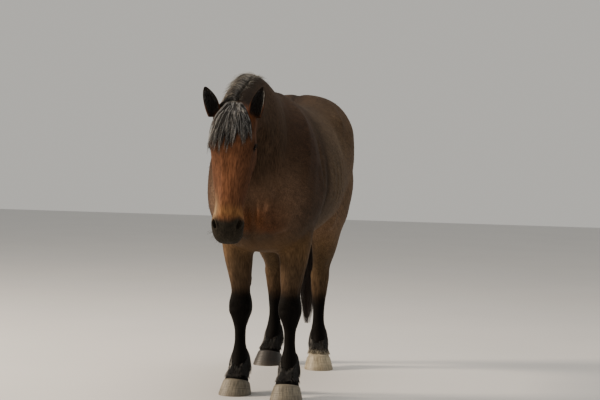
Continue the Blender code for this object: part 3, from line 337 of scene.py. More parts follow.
# %% Rows of the hooves
# Hoof: height and edges at the toe and at the heel, half width, squareness before and behind.
HOOF = (
    (0.000, -0.205, 0.000, -0.018, 0.089, 2.2, 2.8),
    (0.040, -0.180, 0.020, -0.010, 0.082, 2.2, 2.7),
    (0.092, -0.140, 0.050, 0.000, 0.071, 2.2, 2.5),
)

# %% [markdown]
# ## Muscles
# A muscle shows as a soft swelling and the place between two as a soft hollow. Each one is a bell
# exp(-d * d / 2) of the distance to its middle, counted in its own spread along each axis.

# %% Swellings of the body and the head
# Muscles and hollows: middle, spread along each axis, tilt about X in degrees, and how far the
# surface swells out (or sinks in). Each is mirrored to the other side.
SWELLS = (
    ((0.170, -0.880, 1.110), (0.070, 0.060, 0.080), 0, 0.020),
    ((0.280, -0.520, 1.080), (0.100, 0.130, 0.085), 20, 0.016),
    ((0.240, -0.600, 1.360), (0.100, 0.060, 0.200), -28, 0.012),
    ((0.080, -0.910, 1.000), (0.055, 0.060, 0.075), 0, 0.018),
    ((0.000, -0.910, 0.980), (0.014, 0.080, 0.110), 0, -0.020),
    ((0.180, -0.790, 1.400), (0.080, 0.026, 0.180), -30, -0.012),
    ((0.110, -0.960, 1.300), (0.040, 0.022, 0.120), -10, -0.008),
    ((0.310, 0.240, 1.400), (0.060, 0.080, 0.090), 0, -0.020),
    ((0.270, 0.320, 1.520), (0.050, 0.050, 0.045), 0, 0.012),
    ((0.240, 0.340, 1.000), (0.060, 0.060, 0.060), 0, 0.014),
    ((0.270, 0.700, 1.130), (0.060, 0.022, 0.170), 8, -0.012),
    ((0.000, 0.560, 1.690), (0.018, 0.200, 0.030), 0, -0.010),
    ((0.000, 0.000, 1.610), (0.020, 0.250, 0.030), 0, -0.004),
    ((0.330, -0.320, 1.120), (0.060, 0.030, 0.180), 0, -0.008),
)

# Swellings of the head: distance to its left, out from the face line and down the face.
HEAD_SWELLS = (
    ((0.088, -0.020, 0.170), (0.030, 0.022, 0.030), 0, 0.013),
    ((0.090, -0.180, 0.190), (0.030, 0.055, 0.060), 0, 0.010),
    ((0.080, -0.088, 0.340), (0.022, 0.014, 0.080), 0, 0.008),
    ((0.050, -0.050, 0.420), (0.022, 0.022, 0.060), 0, -0.004),
    ((0.070, -0.055, 0.590), (0.026, 0.030, 0.034), 0, 0.012),
    ((0.000, -0.040, 0.660), (0.040, 0.040, 0.026), 0, 0.008),
    ((0.000, -0.150, 0.634), (0.030, 0.026, 0.030), 0, 0.010),
    ((0.030, -0.110, 0.652), (0.026, 0.014, 0.026), 0, 0.005),
    ((0.070, 0.000, 0.090), (0.024, 0.024, 0.024), 0, -0.006),
)

# %% [markdown]
# ## Lofts
# A section of the body is a superellipse: rounder than a box and fuller than an ellipse. A smooth
# curve carries every number along the body, so that few rows give many rings.


# %% Curve and rings between two lines
def curve(places, values, at):
    """Values at the places asked for, on a smooth curve through the given ones."""
    slope = np.gradient(values, places, axis=0)
    k = np.clip(np.searchsorted(places, at) - 1, 0, len(places) - 2)
    h = (places[k + 1] - places[k])[:, None]
    t = (at[:, None] - places[k][:, None]) / h
    return (
        (1 + 2 * t) * (1 - t) ** 2 * values[k]
        + t * (1 - t) ** 2 * h * slope[k]
        + t**2 * (3 - 2 * t) * values[k + 1]
        - t**2 * (1 - t) * h * slope[k + 1]
    )


def two_line_rings(upper, lower, shape, count, sides):
    """Rings between an upper and a lower line, from rows of points and of section sizes.

    A ring spans from its upper to its lower point, and half its width to each side along X. It
    is a superellipse whose upper and lower halves have their own squareness.
    """
    upper, lower, shape = (np.array(a, float) for a in (upper, lower, shape))
    middle = (upper + lower) / 2
    along = np.r_[0, np.cumsum(np.linalg.norm(np.diff(middle, axis=0), axis=1))]
    at = np.linspace(0, along[-1], count)
    upper, lower, shape = (curve(along, a, at) for a in (upper, lower, shape))
    half_width, widest, above, below = (shape[:, k, None] for k in range(4))
    depth = np.linalg.norm(lower - upper, axis=1)[:, None]
    down = (lower - upper) / depth
    angle = np.linspace(0, 2 * math.pi, sides, endpoint=False)
    c, s = np.cos(angle)[None, :], np.sin(angle)[None, :]
    power = 2 / np.where(c > 0, above, below)
    reach = np.where(c > 0, widest, 1 - widest) * depth
    fall = -np.sign(c) * np.abs(c) ** power * reach
    out = np.sign(s) * np.abs(s) ** power * half_width
    heart = upper + (lower - upper) * widest
    rings = heart[:, None, :] + down[:, None, :] * fall[:, :, None]
    rings[:, :, 0] += out
    return rings


def face_outwards(mesh):
    """Turns the faces of a closed mesh outwards."""
    bm = bmesh.new()
    bm.from_mesh(mesh)
    bmesh.ops.recalc_face_normals(bm, faces=bm.faces)
    bm.to_mesh(mesh)
    bm.free()


def grid_quads(rows, columns, closed=True):
    """Corner numbers of the quads of a grid of points, row by row, closed round each row or not."""
    i = np.arange(rows - 1)[:, None] * columns
    j = np.arange(columns if closed else columns - 1)[None, :]
    k = (j + 1) % columns
    return np.stack([i + j, i + k, i + columns + k, i + columns + j], axis=-1).reshape(-1, 4)


def mesh_of_rings(name, rings):
    """A closed mesh through the rings, with a fan of triangles to the middle of each end."""
    count, sides, _ = rings.shape
    ends = np.stack([rings[0].mean(axis=0), rings[-1].mean(axis=0)])
    points = np.concatenate([rings.reshape(-1, 3), ends])
    j = np.arange(sides)
    k = (j + 1) % sides
    last = (count - 1) * sides
    first_cap = np.stack([j, k, np.full(sides, count * sides)], axis=1)
    last_cap = np.stack([last + k, last + j, np.full(sides, count * sides + 1)], axis=1)
    mesh = mesh_from_arrays(name, points, grid_quads(count, sides), first_cap, last_cap)
    face_outwards(mesh)
    return mesh


# %% [markdown]
# ## Where the head and the feet stand
# The head hangs at a pitch of 16 degrees and is measured in its own frame: across to its left,
# out of the face, and down the face. The legs are drawn straight and then moved to where the feet
# stand, all at the ground and nothing at the top.


# %% Frames of the head and the legs
def head_frame():
    """Turn (3, 3) and place (3) of the head: left, out of the face, and up to the poll."""
    pitch = Matrix.Rotation(HEAD_PITCH, 3, "X")
    face_out = Matrix(((1, 0, 0), (0, -1, 0), (0, 0, 1)))
    turn = Matrix.Rotation(HEAD_TURN, 3, "Z")
    return np.array(turn @ pitch.inverted() @ face_out), np.array(POLL)


HEAD_AXES, HEAD_PLACE = head_frame()


def from_head(points):
    """Body points of head points, given as across, out and down the face."""
    return (np.asarray(points, float) * (1, 1, -1)) @ HEAD_AXES.T + HEAD_PLACE


def to_head(points):
    """Head points, as across, out and down the face, of body points."""
    return ((points - HEAD_PLACE) @ HEAD_AXES) * (1, 1, -1)


def neck_bend(y):
    """How far the neck's middle is carried to the side at y: none at the chest, all at the poll."""
    return POLL[0] * smoothstep(0, 1, (np.asarray(y) + 0.75) / (POLL[1] + 0.75))


def stance(points, leg):
    """Points of a neutral leg moved to where the foot stands, with the toe turned out."""
    side, rows, axis, behind, outside, toe_out = LEGS[leg]
    middle = rows[-1][4]
    height = points[..., 2]
    angle = math.radians(toe_out) * smoothstep(0, 1, (TURN_TOP - height) / (TURN_TOP - TURN_BOTTOM))
    c, s = np.cos(angle), np.sin(angle)
    across, along = points[..., 0] - middle, points[..., 1]
    end = LEAN_END[leg.split("_")[0]]
    share = np.clip((LEAN_TOP - height) / (LEAN_TOP - end), 0, 1)
    moved = points.copy()
    moved[..., 0] = side * (middle + c * across - s * along + outside * share)
    moved[..., 1] = c * along + s * across + axis + behind * share
    return moved


# %% Rings of every loft
def body_rings(rows):
    """Rings of the torso or the neck: both lines lie in the middle plane, where x is 0."""
    rows = np.array(rows)
    zero = np.zeros(len(rows))
    if rows.shape[1] == 7:
        upper, lower = rows[:, [0, 1]], rows[:, [0, 2]]
    else:
        upper, lower = rows[:, [0, 1]], rows[:, [2, 3]]
    upper, lower = (np.column_stack([zero, line]) for line in (upper, lower))
    return two_line_rings(upper, lower, rows[:, -4:], 90, 64)


def head_rings():
    """Rings of the head, drawn in its own frame and carried to the poll."""
    rows = np.array(HEAD)
    zero = np.zeros(len(rows))
    upper = np.column_stack([zero, rows[:, 1], rows[:, 0]])
    lower = np.column_stack([zero, rows[:, 2], rows[:, 0]])
    return from_head(two_line_rings(upper, lower, rows[:, 3:], 90, 64))


def leg_rings(leg):
    """Level rings between a leg's front and back edge, moved to where its foot stands."""
    rows = np.array(LEGS[leg][1])
    upper = rows[:, [4, 1, 0]]
    lower = rows[:, [4, 2, 0]]
    shape = np.column_stack([rows[:, 3], np.full(len(rows), 0.5), rows[:, 5], rows[:, 6]])
    return stance(two_line_rings(upper, lower, shape, 90, 40), leg)


def hoof_rings(leg, count, sides):
    """The hoof's wall from the ground to the coronet, standing as its leg does."""
    rows = np.array(HOOF)
    across = np.full(len(rows), LEGS[leg][1][-1][4])
    upper = np.column_stack([across, rows[:, 1], rows[:, 0]])
    lower = np.column_stack([across, rows[:, 3], rows[:, 2]])
    shape = np.column_stack([rows[:, 4], np.full(len(rows), 0.55), rows[:, 5], rows[:, 6]])
    return stance(two_line_rings(upper, lower, shape, count, sides), leg)


neck = body_rings(NECK)
neck[:, :, 0] += neck_bend(neck[:, :, 1])
lofts = [body_rings(TORSO), neck, head_rings()] + [leg_rings(leg) for leg in LEGS]
left_hoof = hoof_rings("front_leg_left", 4, 20).reshape(-1, 3)
SHIFT = np.array(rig.box("front_hoof_left")[0]) - left_hoof.min(axis=0)
print("rings:", sum(len(r) for r in lofts), "and the row stands at", SHIFT.round(4), "from the lines")

# %% [markdown]
# ## One skin
# The lofts pass through each other. A voxel remesh fuses them to one closed surface of even
# quads, and moving each point towards the mean of its neighbours draws the skin smooth where they
# meet. Only then do the muscles swell out of it, so that they stay crisp.


# %% Helpers for points on a mesh
def evaluated_mesh(obj):
    """The object's mesh with its modifiers applied; the object is used up."""
    graph = bpy.context.evaluated_depsgraph_get()
    mesh = bpy.data.meshes.new_from_object(obj.evaluated_get(graph))
    bpy.data.objects.remove(obj)
    return mesh


def points_and_normals(mesh):
    """The mesh's points and their normals, each as an array (n, 3)."""
    points = np.empty(len(mesh.vertices) * 3, np.float32)
    normals = np.empty(len(mesh.vertices) * 3, np.float32)
    mesh.vertices.foreach_get("co", points)
    mesh.vertices.foreach_get("normal", normals)
    return points.reshape(-1, 3).astype(float), normals.reshape(-1, 3).astype(float)


def set_points(mesh, points):
    """Moves the mesh's points to new places."""
    mesh.vertices.foreach_set("co", points.astype(np.float32).ravel())
    mesh.update()


def relaxed(points, mesh, weight, rounds):
    """Points moved in rounds towards the mean of their neighbours, each by its own weight."""
    ends = np.empty(len(mesh.edges) * 2, np.int32)
    mesh.edges.foreach_get("vertices", ends)
    one, other = ends.reshape(-1, 2).T
    here, there = np.r_[one, other], np.r_[other, one]
    count = np.bincount(here, minlength=len(points))[:, None]
    for _ in range(rounds):
        sums = [np.bincount(here, points[there, k], minlength=len(points)) for k in range(3)]
        points = points + weight[:, None] * (np.stack(sums, axis=1) / count - points)
    return points


def bells(points, rows):
    """At each point the highest of the bells round the rows' middles, mirrored to both sides."""
    mirrored = points.copy()
    mirrored[:, 0] = np.abs(points[:, 0])
    off = np.stack([mirrored - row[0] for row in rows])
    spread = np.array([row[1] for row in rows])[:, None]
    return np.exp(-0.5 * (off**2).sum(axis=2) / spread**2).max(axis=0)


def swell(points, normals, rows):
    """Points moved along their normals by a bell-shaped swelling at each row."""
    moved = points.copy()
    for centre, spread, tilt, amount in rows:
        c, s = math.cos(math.radians(tilt)), math.sin(math.radians(tilt))
        for side in (1, -1) if centre[0] else (1,):
            off = points - np.array((side * centre[0], centre[1], centre[2]))
            along = off @ np.array(((1, 0, 0), (0, c, -s), (0, s, c)))
            bell = np.exp(-0.5 * ((along / np.array(spread)) ** 2).sum(axis=1))
            moved += normals * (amount * bell)[:, None]
    return moved


def along_line(points, low, high):
    """Each point's share of the way from low to high, and its distance to the line between them."""
    line = high - low
    share = (points - low) @ line / (line @ line)
    off = np.linalg.norm(points - low - np.clip(share, 0, 1)[:, None] * line, axis=1)
    return share, off


def beyond(points, plane):
    """How far each point lies beyond a plane, which is a point and a direction."""
    return (points - np.array(plane[0])) @ np.array(plane[1])


# %% Fuse the lofts
# Where the lofts meet and the skin is drawn smooth over the crease: middle and reach.
BLENDS = (
    ((0.180, -0.800, 1.400), 0.130),
    ((0.120, -0.850, 1.200), 0.130),
    ((0.220, -0.700, 1.560), 0.100),
    ((0.200, -0.500, 0.930), 0.090),
    ((0.090, -0.600, 0.850), 0.070),
    ((0.220, 0.300, 1.080), 0.100),
    ((0.100, 0.560, 0.960), 0.100),
    ((0.060, -1.080, 1.400), 0.060),
    ((0.000, -1.150, 1.600), 0.050),
)
# Where the neck and the head begin: a point of a plane, and the direction that lies beyond it.
NECK_CUT = ((0.0, -0.745, 1.400), (0.0, -0.841, 0.541))
HEAD_CUT = ((0.0, -1.080, 1.455), (0.0, -0.899, -0.437))
SKIN_VOXEL = 0.012


def fused(lofts):
    """The lofts as one closed surface of even quads."""
    bm = bmesh.new()
    for k, rings in enumerate(lofts):
        bm.from_mesh(mesh_of_rings(f"loft_{k}", rings))
    mesh = bpy.data.meshes.new("lofts")
    bm.to_mesh(mesh)
    bm.free()
    obj = new_object("lofts", mesh)
    remesh = obj.modifiers.new("fuse", "REMESH")
    remesh.mode = "VOXEL"
    remesh.voxel_size = SKIN_VOXEL
    return evaluated_mesh(obj)


skin = fused(lofts)
points, _ = points_and_normals(skin)
points = relaxed(points, skin, np.full(len(points), 0.5), 3)
points = relaxed(points, skin, 0.5 * bells(points, BLENDS), 34)
set_points(skin, points)
points, normals = points_and_normals(skin)
points = swell(points, normals, SWELLS)
in_head = swell(to_head(points), to_head(normals + HEAD_PLACE), HEAD_SWELLS)
points = np.where(beyond(points, HEAD_CUT)[:, None] > 0, from_head(in_head), points)
set_points(skin, points)
print("fused skin:", len(skin.polygons), "quads")

# %% [markdown]
# ## Bones, tendons and veins under the skin
# A draft horse's thin-skinned places show its build: the crest of bone down the cheek, the groove
# of the jugular, the shoulder blade, faint ribs, the tendons behind each cannon. Each one is a
# line from one point to another, and the skin rises or sinks along it by a bell of the distance.


# %% Lines in the skin
def lined(points, normals, rows, mirror=True):
    """Points moved along normals by amount * exp(-(distance to a line / width) ** 2 / 2)."""
    moved = points.copy()
    for start, end, width, amount in rows:
        for side in (1, -1) if mirror and max(abs(start[0]), abs(end[0])) > 0 else (1,):
            low, high = np.array((start, end)) * (side, 1, 1)
            _, off = along_line(points, low, high)
            moved += normals * (amount * np.exp(-0.5 * (off / width) ** 2))[:, None]
    return moved


# Body: start, end, width and height of each line, on the left side.
BODY_LINES = (
    ((0.070, -1.060, 1.440), (0.125, -0.920, 1.130), 0.016, -0.0128),
    ((0.085, -1.080, 1.520), (0.150, -0.900, 1.300), 0.030, 0.0064),
    ((0.200, -0.490, 1.600), (0.270, -0.790, 1.210), 0.026, 0.0096),
    ((0.180, -0.600, 1.620), (0.270, -0.860, 1.180), 0.016, -0.0080),
    ((0.290, -0.400, 1.400), (0.300, -0.440, 1.050), 0.024, -0.0096),
    ((0.300, -0.520, 1.250), (0.260, -0.420, 0.980), 0.034, 0.0096),
    ((0.230, -0.400, 0.950), (0.215, -0.385, 0.920), 0.018, 0.0160),
    ((0.060, -0.930, 1.060), (0.040, -0.880, 0.900), 0.014, -0.0064),
    ((0.337, -0.180, 1.400), (0.320, -0.120, 0.960), 0.012, 0.0029),
    ((0.345, -0.090, 1.400), (0.325, -0.030, 0.950), 0.012, 0.0035),
    ((0.350, 0.000, 1.400), (0.325, 0.060, 0.950), 0.012, 0.0035),
    ((0.350, 0.090, 1.400), (0.320, 0.150, 0.970), 0.012, 0.0032),
    ((0.345, 0.175, 1.380), (0.310, 0.225, 1.020), 0.012, 0.0024),
    ((0.180, -0.250, 0.830), (0.250, 0.150, 0.900), 0.006, 0.0035),
    ((0.230, 0.420, 1.640), (0.290, 0.330, 1.530), 0.020, 0.0096),
    ((0.290, 0.360, 1.420), (0.240, 0.350, 1.060), 0.022, -0.0112),
    ((0.300, 0.660, 1.420), (0.250, 0.700, 0.930), 0.014, -0.0096),
    ((0.200, 0.800, 1.420), (0.190, 0.790, 0.960), 0.012, -0.0080),
    ((0.330, 0.520, 1.480), (0.325, 0.480, 1.440), 0.045, 0.0080),
    ((0.260, 0.370, 0.960), (0.230, 0.400, 0.900), 0.020, 0.0128),
    ((0.220, 0.560, 0.900), (0.200, 0.640, 0.760), 0.010, -0.0080),
    ((0.020, 0.180, 1.640), (0.020, 0.720, 1.650), 0.020, 0.0048),
    ((0.000, 0.200, 1.640), (0.000, 0.760, 1.640), 0.010, -0.0080),
    ((0.050, -0.930, 0.960), (0.170, -0.840, 1.060), 0.016, -0.012),
    ((0.110, -0.860, 0.880), (0.190, -0.760, 0.980), 0.014, -0.010),
    ((0.090, -0.900, 0.930), (0.150, -0.850, 0.970), 0.026, 0.008),
    ((0.000, -0.940, 1.080), (0.000, -0.860, 0.880), 0.012, -0.0160),
)
# Head: the same, in across, out and down the face.
HEAD_LINES = (
    ((0.096, -0.070, 0.235), (0.076, -0.094, 0.400), 0.0060, 0.0055),
    ((0.096, -0.086, 0.270), (0.076, -0.112, 0.400), 0.0070, -0.0030),
    ((0.040, 0.004, 0.230), (0.026, -0.010, 0.560), 0.0070, 0.0024),
    ((0.060, -0.030, 0.290), (0.052, -0.040, 0.500), 0.0110, -0.0040),
    ((0.092, -0.014, 0.150), (0.104, -0.030, 0.195), 0.0090, 0.0060),
    ((0.074, 0.008, 0.095), (0.090, -0.006, 0.120), 0.0130, -0.0065),
    ((0.052, 0.012, 0.060), (0.078, 0.004, 0.140), 0.0070, 0.0030),
    ((0.104, -0.100, 0.180), (0.096, -0.190, 0.270), 0.0300, 0.0040),
    ((0.094, -0.120, 0.305), (0.082, -0.215, 0.290), 0.0080, -0.0040),
    ((0.100, -0.210, 0.120), (0.088, -0.255, 0.220), 0.0080, 0.0050),
    ((0.090, -0.220, 0.060), (0.096, -0.235, 0.140), 0.0120, -0.0060),
    ((0.090, -0.195, 0.285), (0.078, -0.120, 0.345), 0.0030, 0.0022),
    ((0.078, -0.120, 0.345), (0.066, -0.070, 0.430), 0.0028, 0.0022),
    ((0.076, -0.110, 0.352), (0.062, -0.088, 0.470), 0.0022, 0.0014),
    ((0.060, -0.145, 0.480), (0.052, -0.140, 0.570), 0.0120, -0.0040),
    ((0.066, -0.066, 0.500), (0.072, -0.070, 0.570), 0.0090, 0.0030),
    ((0.062, -0.112, 0.590), (0.060, -0.120, 0.640), 0.0050, 0.0035),
    ((0.060, -0.138, 0.590), (0.056, -0.142, 0.650), 0.0060, 0.0030),
    ((0.070, -0.108, 0.575), (0.066, -0.130, 0.560), 0.0024, -0.0020),
    ((0.072, -0.106, 0.560), (0.068, -0.134, 0.545), 0.0024, -0.0016),
)
# Legs: the same, with the first number counted outwards from the leg's own middle.
FRONT_LINES = (
    ((0.034, 0.010, 0.370), (0.034, 0.014, 0.235), 0.0060, -0.0050),
    ((-0.034, 0.010, 0.370), (-0.034, 0.014, 0.235), 0.0060, -0.0050),
    ((0.022, 0.046, 0.400), (0.022, 0.052, 0.240), 0.0060, 0.0022),
    ((0.045, -0.046, 0.510), (0.040, -0.050, 0.500), 0.0130, 0.0040),
    ((-0.045, -0.046, 0.510), (-0.040, -0.050, 0.500), 0.0130, 0.0040),
    ((0.045, -0.040, 0.452), (0.040, -0.046, 0.448), 0.0110, 0.0035),
    ((-0.045, -0.040, 0.452), (-0.040, -0.046, 0.448), 0.0110, 0.0035),
    ((0.050, -0.060, 0.478), (-0.050, -0.060, 0.478), 0.0050, -0.0030),
    ((0.012, 0.062, 0.490), (0.006, 0.060, 0.450), 0.0110, 0.0060),
    ((0.056, 0.018, 0.560), (0.050, 0.020, 0.440), 0.0090, -0.0040),
    ((0.060, -0.030, 0.720), (0.052, -0.024, 0.560), 0.0090, -0.0050),
    ((-0.050, 0.010, 0.700), (-0.048, 0.010, 0.560), 0.0090, -0.0040),
    ((0.085, 0.020, 0.820), (0.062, 0.018, 0.600), 0.0080, -0.0040),
    ((0.036, 0.040, 0.212), (0.034, 0.046, 0.200), 0.0110, 0.0050),
    ((-0.036, 0.040, 0.212), (-0.034, 0.046, 0.200), 0.0110, 0.0050),
    ((-0.060, 0.004, 0.640), (-0.058, 0.004, 0.610), 0.0080, 0.0040),
)
HIND_LINES = (
    ((0.046, 0.036, 0.720), (0.040, 0.044, 0.655), 0.0130, -0.0120),
    ((-0.046, 0.036, 0.720), (-0.040, 0.044, 0.655), 0.0130, -0.0120),
    ((0.000, 0.070, 0.670), (0.000, 0.072, 0.645), 0.0120, 0.0060),
    ((0.052, -0.040, 0.590), (0.050, -0.040, 0.570), 0.0120, 0.0040),
    ((-0.052, -0.040, 0.590), (-0.050, -0.040, 0.570), 0.0120, 0.0050),
    ((0.036, 0.010, 0.440), (0.034, 0.012, 0.270), 0.0060, -0.0050),
    ((-0.036, 0.010, 0.440), (-0.034, 0.012, 0.270), 0.0060, -0.0050),
    ((0.018, 0.046, 0.520), (0.020, 0.046, 0.260), 0.0070, 0.0025),
    ((0.000, -0.060, 0.540), (0.010, -0.046, 0.480), 0.0080, 0.0030),
    ((0.070, -0.120, 0.760), (0.055, -0.080, 0.640), 0.0120, -0.0040),
    ((0.036, 0.040, 0.228), (0.034, 0.046, 0.214), 0.0110, 0.0050),
    ((-0.036, 0.040, 0.228), (-0.034, 0.046, 0.214), 0.0110, 0.0050),
    ((-0.046, 0.020, 0.520), (-0.046, 0.022, 0.500), 0.0070, 0.0030),
)


def leg_lines(leg):
    """The rows of a leg's lines, moved to where the leg stands."""
    middle = LEGS[leg][1][-1][4]
    rows = FRONT_LINES if leg.startswith("front") else HIND_LINES
    for start, end, width, amount in rows:
        ends = np.array((start, end)) + (middle, 0, 0)
        yield (*stance(ends, leg), width, amount)


# %% Raise the lines in a finer skin
def smoothed_once(mesh):
    """The mesh with every quad cut in four and rounded by Subdivision Surface."""
    obj = new_object("skin_cage", mesh)
    finer = obj.modifiers.new("finer", "SUBSURF")
    finer.levels = 1
    finer.render_levels = 1
    return evaluated_mesh(obj)


EYES = {name: np.add(*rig.box(name)) / 2 - SHIFT for name in ("eye_left", "eye_right")}
EYE_RADIUS = (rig.box("eye_left")[1][0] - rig.box("eye_left")[0][0]) / 2
NOSTRIL = (0.066, -0.030, 0.605)
NOSTRIL_RADII = (0.027, 0.0115, 0.026)
LIPS = ((0.030, -0.112, 0.668), (0.052, -0.120, 0.628), (0.062, -0.122, 0.600))
fine_places = [(middle, 0.048) for middle in EYES.values()]
for side in (1, -1):
    fine_places.append((from_head((side * 0.076, NOSTRIL[1], NOSTRIL[2])), 0.042))
    fine_places += [(from_head((side * x, out, down)), 0.030) for x, out, down in LIPS]

skin = smoothed_once(skin)
bm = bmesh.new()
bm.from_mesh(skin)
points, _ = points_and_normals(skin)
near = np.zeros(len(points), bool)
for middle, reach in fine_places:
    near |= ((points - middle) ** 2).sum(axis=1) < reach**2
bm.verts.ensure_lookup_table()
edges = [e for e in bm.edges if near[e.verts[0].index] and near[e.verts[1].index]]
bmesh.ops.subdivide_edges(bm, edges=edges, cuts=3, use_grid_fill=True)
bmesh.ops.triangulate(bm, faces=bm.faces)
bm.to_mesh(skin)
bm.free()
points, _ = points_and_normals(skin)
weight = np.zeros(len(points))
for middle, reach in fine_places:
    weight = np.maximum(weight, 0.5 * (((points - middle) ** 2).sum(axis=1) < (reach * 0.95) ** 2))
set_points(skin, relaxed(points, skin, weight, 8))
points, normals = points_and_normals(skin)
points = lined(points, normals, BODY_LINES)
in_head = lined(to_head(points), to_head(normals + HEAD_PLACE), HEAD_LINES)
points = np.where(beyond(points, HEAD_CUT)[:, None] > 0, from_head(in_head), points)
for leg in LEGS:
    points = lined(points, normals, leg_lines(leg), mirror=False)
set_points(skin, points)
print("lined skin:", len(skin.polygons), "triangles")

# %% [markdown]
# ## Lids, nostrils and lips
# A horse's eye is a ball about 4 cm wide under its lids. The skin is lifted to a dome 3.4 mm over
# the ball, and sinks by 1.8 mm later to leave the coat its depth. Then an almond is cut through the
# dome and the ball's own room behind it, so that lids about 1 mm thick stay. Each nostril gets a
# raised rim before its hollow is cut, and the mouth is a thin cut between two full lips.


# %% Shape the skin round the eyes and nostrils
def eye_frame(name):
    """Axes of an eye: along the lids to the front corner, up across them, and outwards."""
    side = 1 if name.endswith("left") else -1
    tilt = math.radians(25)
    forward = np.array((0, math.sin(tilt), math.cos(tilt)))
    up = np.array((0, math.cos(tilt), -math.sin(tilt)))
    out = np.array((side, 0, 0))
    axes = np.stack([forward, up, out]) * (1, 1, -1) @ HEAD_AXES.T
    return axes


LID = 0.0034
OPENING = (0.0172, 0.0100)


def lidded(points):
    """Near each eye, n becomes (n + d + sqrt((n - d) ** 2 + s * s)) / 2, d being the lids' dome."""
    for name, middle in EYES.items():
        axes = eye_frame(name)
        p, q, n = axes @ (points - middle).T
        off = np.hypot(p, q)
        here = (off < 0.045) & (n > -0.005)
        dome = np.sqrt(np.clip((EYE_RADIUS + LID) ** 2 - off**2, 0, None))
        lifted = (n + dome + np.sqrt((n - dome) ** 2 + 0.006**2)) / 2
        fade = 1 - smoothstep(0.026, 0.044, off)
        upper = OPENING[1] * (1 - np.clip(np.abs(p) / 0.024, 0, 1) ** 2)
        fold = 0.0022 * np.exp(-0.5 * ((q - upper - 0.0068) / 0.0016) ** 2)
        wrinkle = 0.0012 * np.exp(-0.5 * ((q - upper - 0.0125) / 0.0018) ** 2)
        lower = 0.0010 * np.exp(-0.5 * ((q + upper + 0.0062) / 0.0016) ** 2)
        bag = 1 - smoothstep(0.018, 0.030, np.abs(p))
        height = n + fade * (lifted - n) - (fold + wrinkle + lower) * bag
        points = points + np.where(here, height - n, 0)[:, None] * axes[2]
    return points


def nostril_middle(side):
    """The middle of the nostril's hollow on one side of the head."""
    return from_head((side * NOSTRIL[0], NOSTRIL[1], NOSTRIL[2]))


def nostril_frame(side):
    """Turn of the nostril's hollow, so that its long way slants down to the lips."""
    slant = Matrix.Rotation(side * math.radians(18), 3, "Y")
    facing = Matrix.Rotation(side * math.radians(40), 3, "Z")
    return HEAD_AXES @ np.array(slant @ facing)


def rimmed(points, normals):
    """Skin raised by up to 3.8 mm on a ring at 1.35 times the nostril's edge."""
    for side in (1, -1):
        middle = nostril_middle(side)
        local = (points - middle) @ nostril_frame(side)
        ring = np.hypot(local[:, 1] / 0.012, local[:, 2] / 0.027)
        close = np.exp(-0.5 * ((points - middle) ** 2).sum(axis=1) / 0.030**2)
        rim = 0.0038 * np.exp(-0.5 * ((ring - 1.35) / 0.28) ** 2) * close
        points = points + normals * rim[:, None]
    return points


points, normals = points_and_normals(skin)
points = rimmed(lidded(points), normals)
set_points(skin, points)

# %% Thin the skin where it is plain
# Most triangles of the plain trunk and neck and then of the legs, and how far the skin lies under
# the ends of its coat.
TRUNK_TRIANGLES = 48000
LEG_TRIANGLES = 46000
COAT_DEPTH = 0.0018


def thinned(mesh, inside, triangles):
    """The mesh with its triangles in one region brought down to a number."""
    obj = new_object("region", mesh)
    group = obj.vertex_groups.new(name="region")
    group.add(np.nonzero(inside)[0].tolist(), 1.0, "REPLACE")
    corners = np.empty(len(mesh.polygons) * 3, np.int32)
    mesh.polygons.foreach_get("vertices", corners)
    here = int(inside[corners.reshape(-1, 3)].all(axis=1).sum())
    decimate = obj.modifiers.new("thin", "DECIMATE")
    decimate.ratio = 1 - max(here - triangles, 0) / len(mesh.polygons)
    decimate.vertex_group = group.name
    return evaluated_mesh(obj)


def leg_share(points):
    """1 on the legs below the elbow and the stifle, 0 on the trunk."""
    return 1 - smoothstep(0.78, 0.90, points[:, 2])


points, _ = points_and_normals(skin)
skin = thinned(skin, (beyond(points, HEAD_CUT) <= 0) & (leg_share(points) == 0), TRUNK_TRIANGLES)
points, _ = points_and_normals(skin)
skin = thinned(skin, leg_share(points) > 0, LEG_TRIANGLES)
points, normals = points_and_normals(skin)
set_points(skin, points - normals * COAT_DEPTH)
print("thinned skin:", len(skin.polygons), "triangles")


# %% Cut the eyes, the nostrils and the mouth
def boolean(mesh, operation, cutters):
    """The mesh cut by or joined with closed meshes, one after another, by the Manifold solver."""
    for cutter in cutters:
        face_outwards(cutter)
        tool = new_object("tool", cutter)
        obj = new_object("target", mesh)
        modifier = obj.modifiers.new("combine", "BOOLEAN")
        modifier.operation = operation
        modifier.solver = "MANIFOLD"
        modifier.object = tool
        mesh = evaluated_mesh(obj)
        bpy.data.objects.remove(tool)
    return mesh


def ball(middle, radii, turn, sides=32):
    """Points middle + turn (r sin a cos b, r sin a sin b, r cos a), closed by a point at each pole."""
    polar = np.linspace(0.04, math.pi - 0.04, sides // 2 + 1)[:, None]
    round_ = np.linspace(0, 2 * math.pi, sides, endpoint=False)[None, :]
    sphere = [np.sin(polar) * np.cos(round_), np.sin(polar) * np.sin(round_), np.cos(polar) + 0 * round_]
    return np.stack(sphere, axis=-1) * radii @ np.asarray(turn).T + middle


def almond(name):
    """A prism through the lids: q = b (1 - (p / a) ** 2) ** 0.8 above, and 0.85 of that below."""
    share = np.linspace(-1, 1, 21)
    arch = OPENING[1] * (1 - share**2) ** 0.8
    p = np.r_[share, share[-2:0:-1]] * OPENING[0]
    q = np.r_[arch, -0.85 * arch[-2:0:-1]]
    near, far = (np.column_stack([p, q, np.full(len(p), n)]) for n in (0.006, 0.050))
    return (np.stack([near, far]) @ eye_frame(name)) + EYES[name]


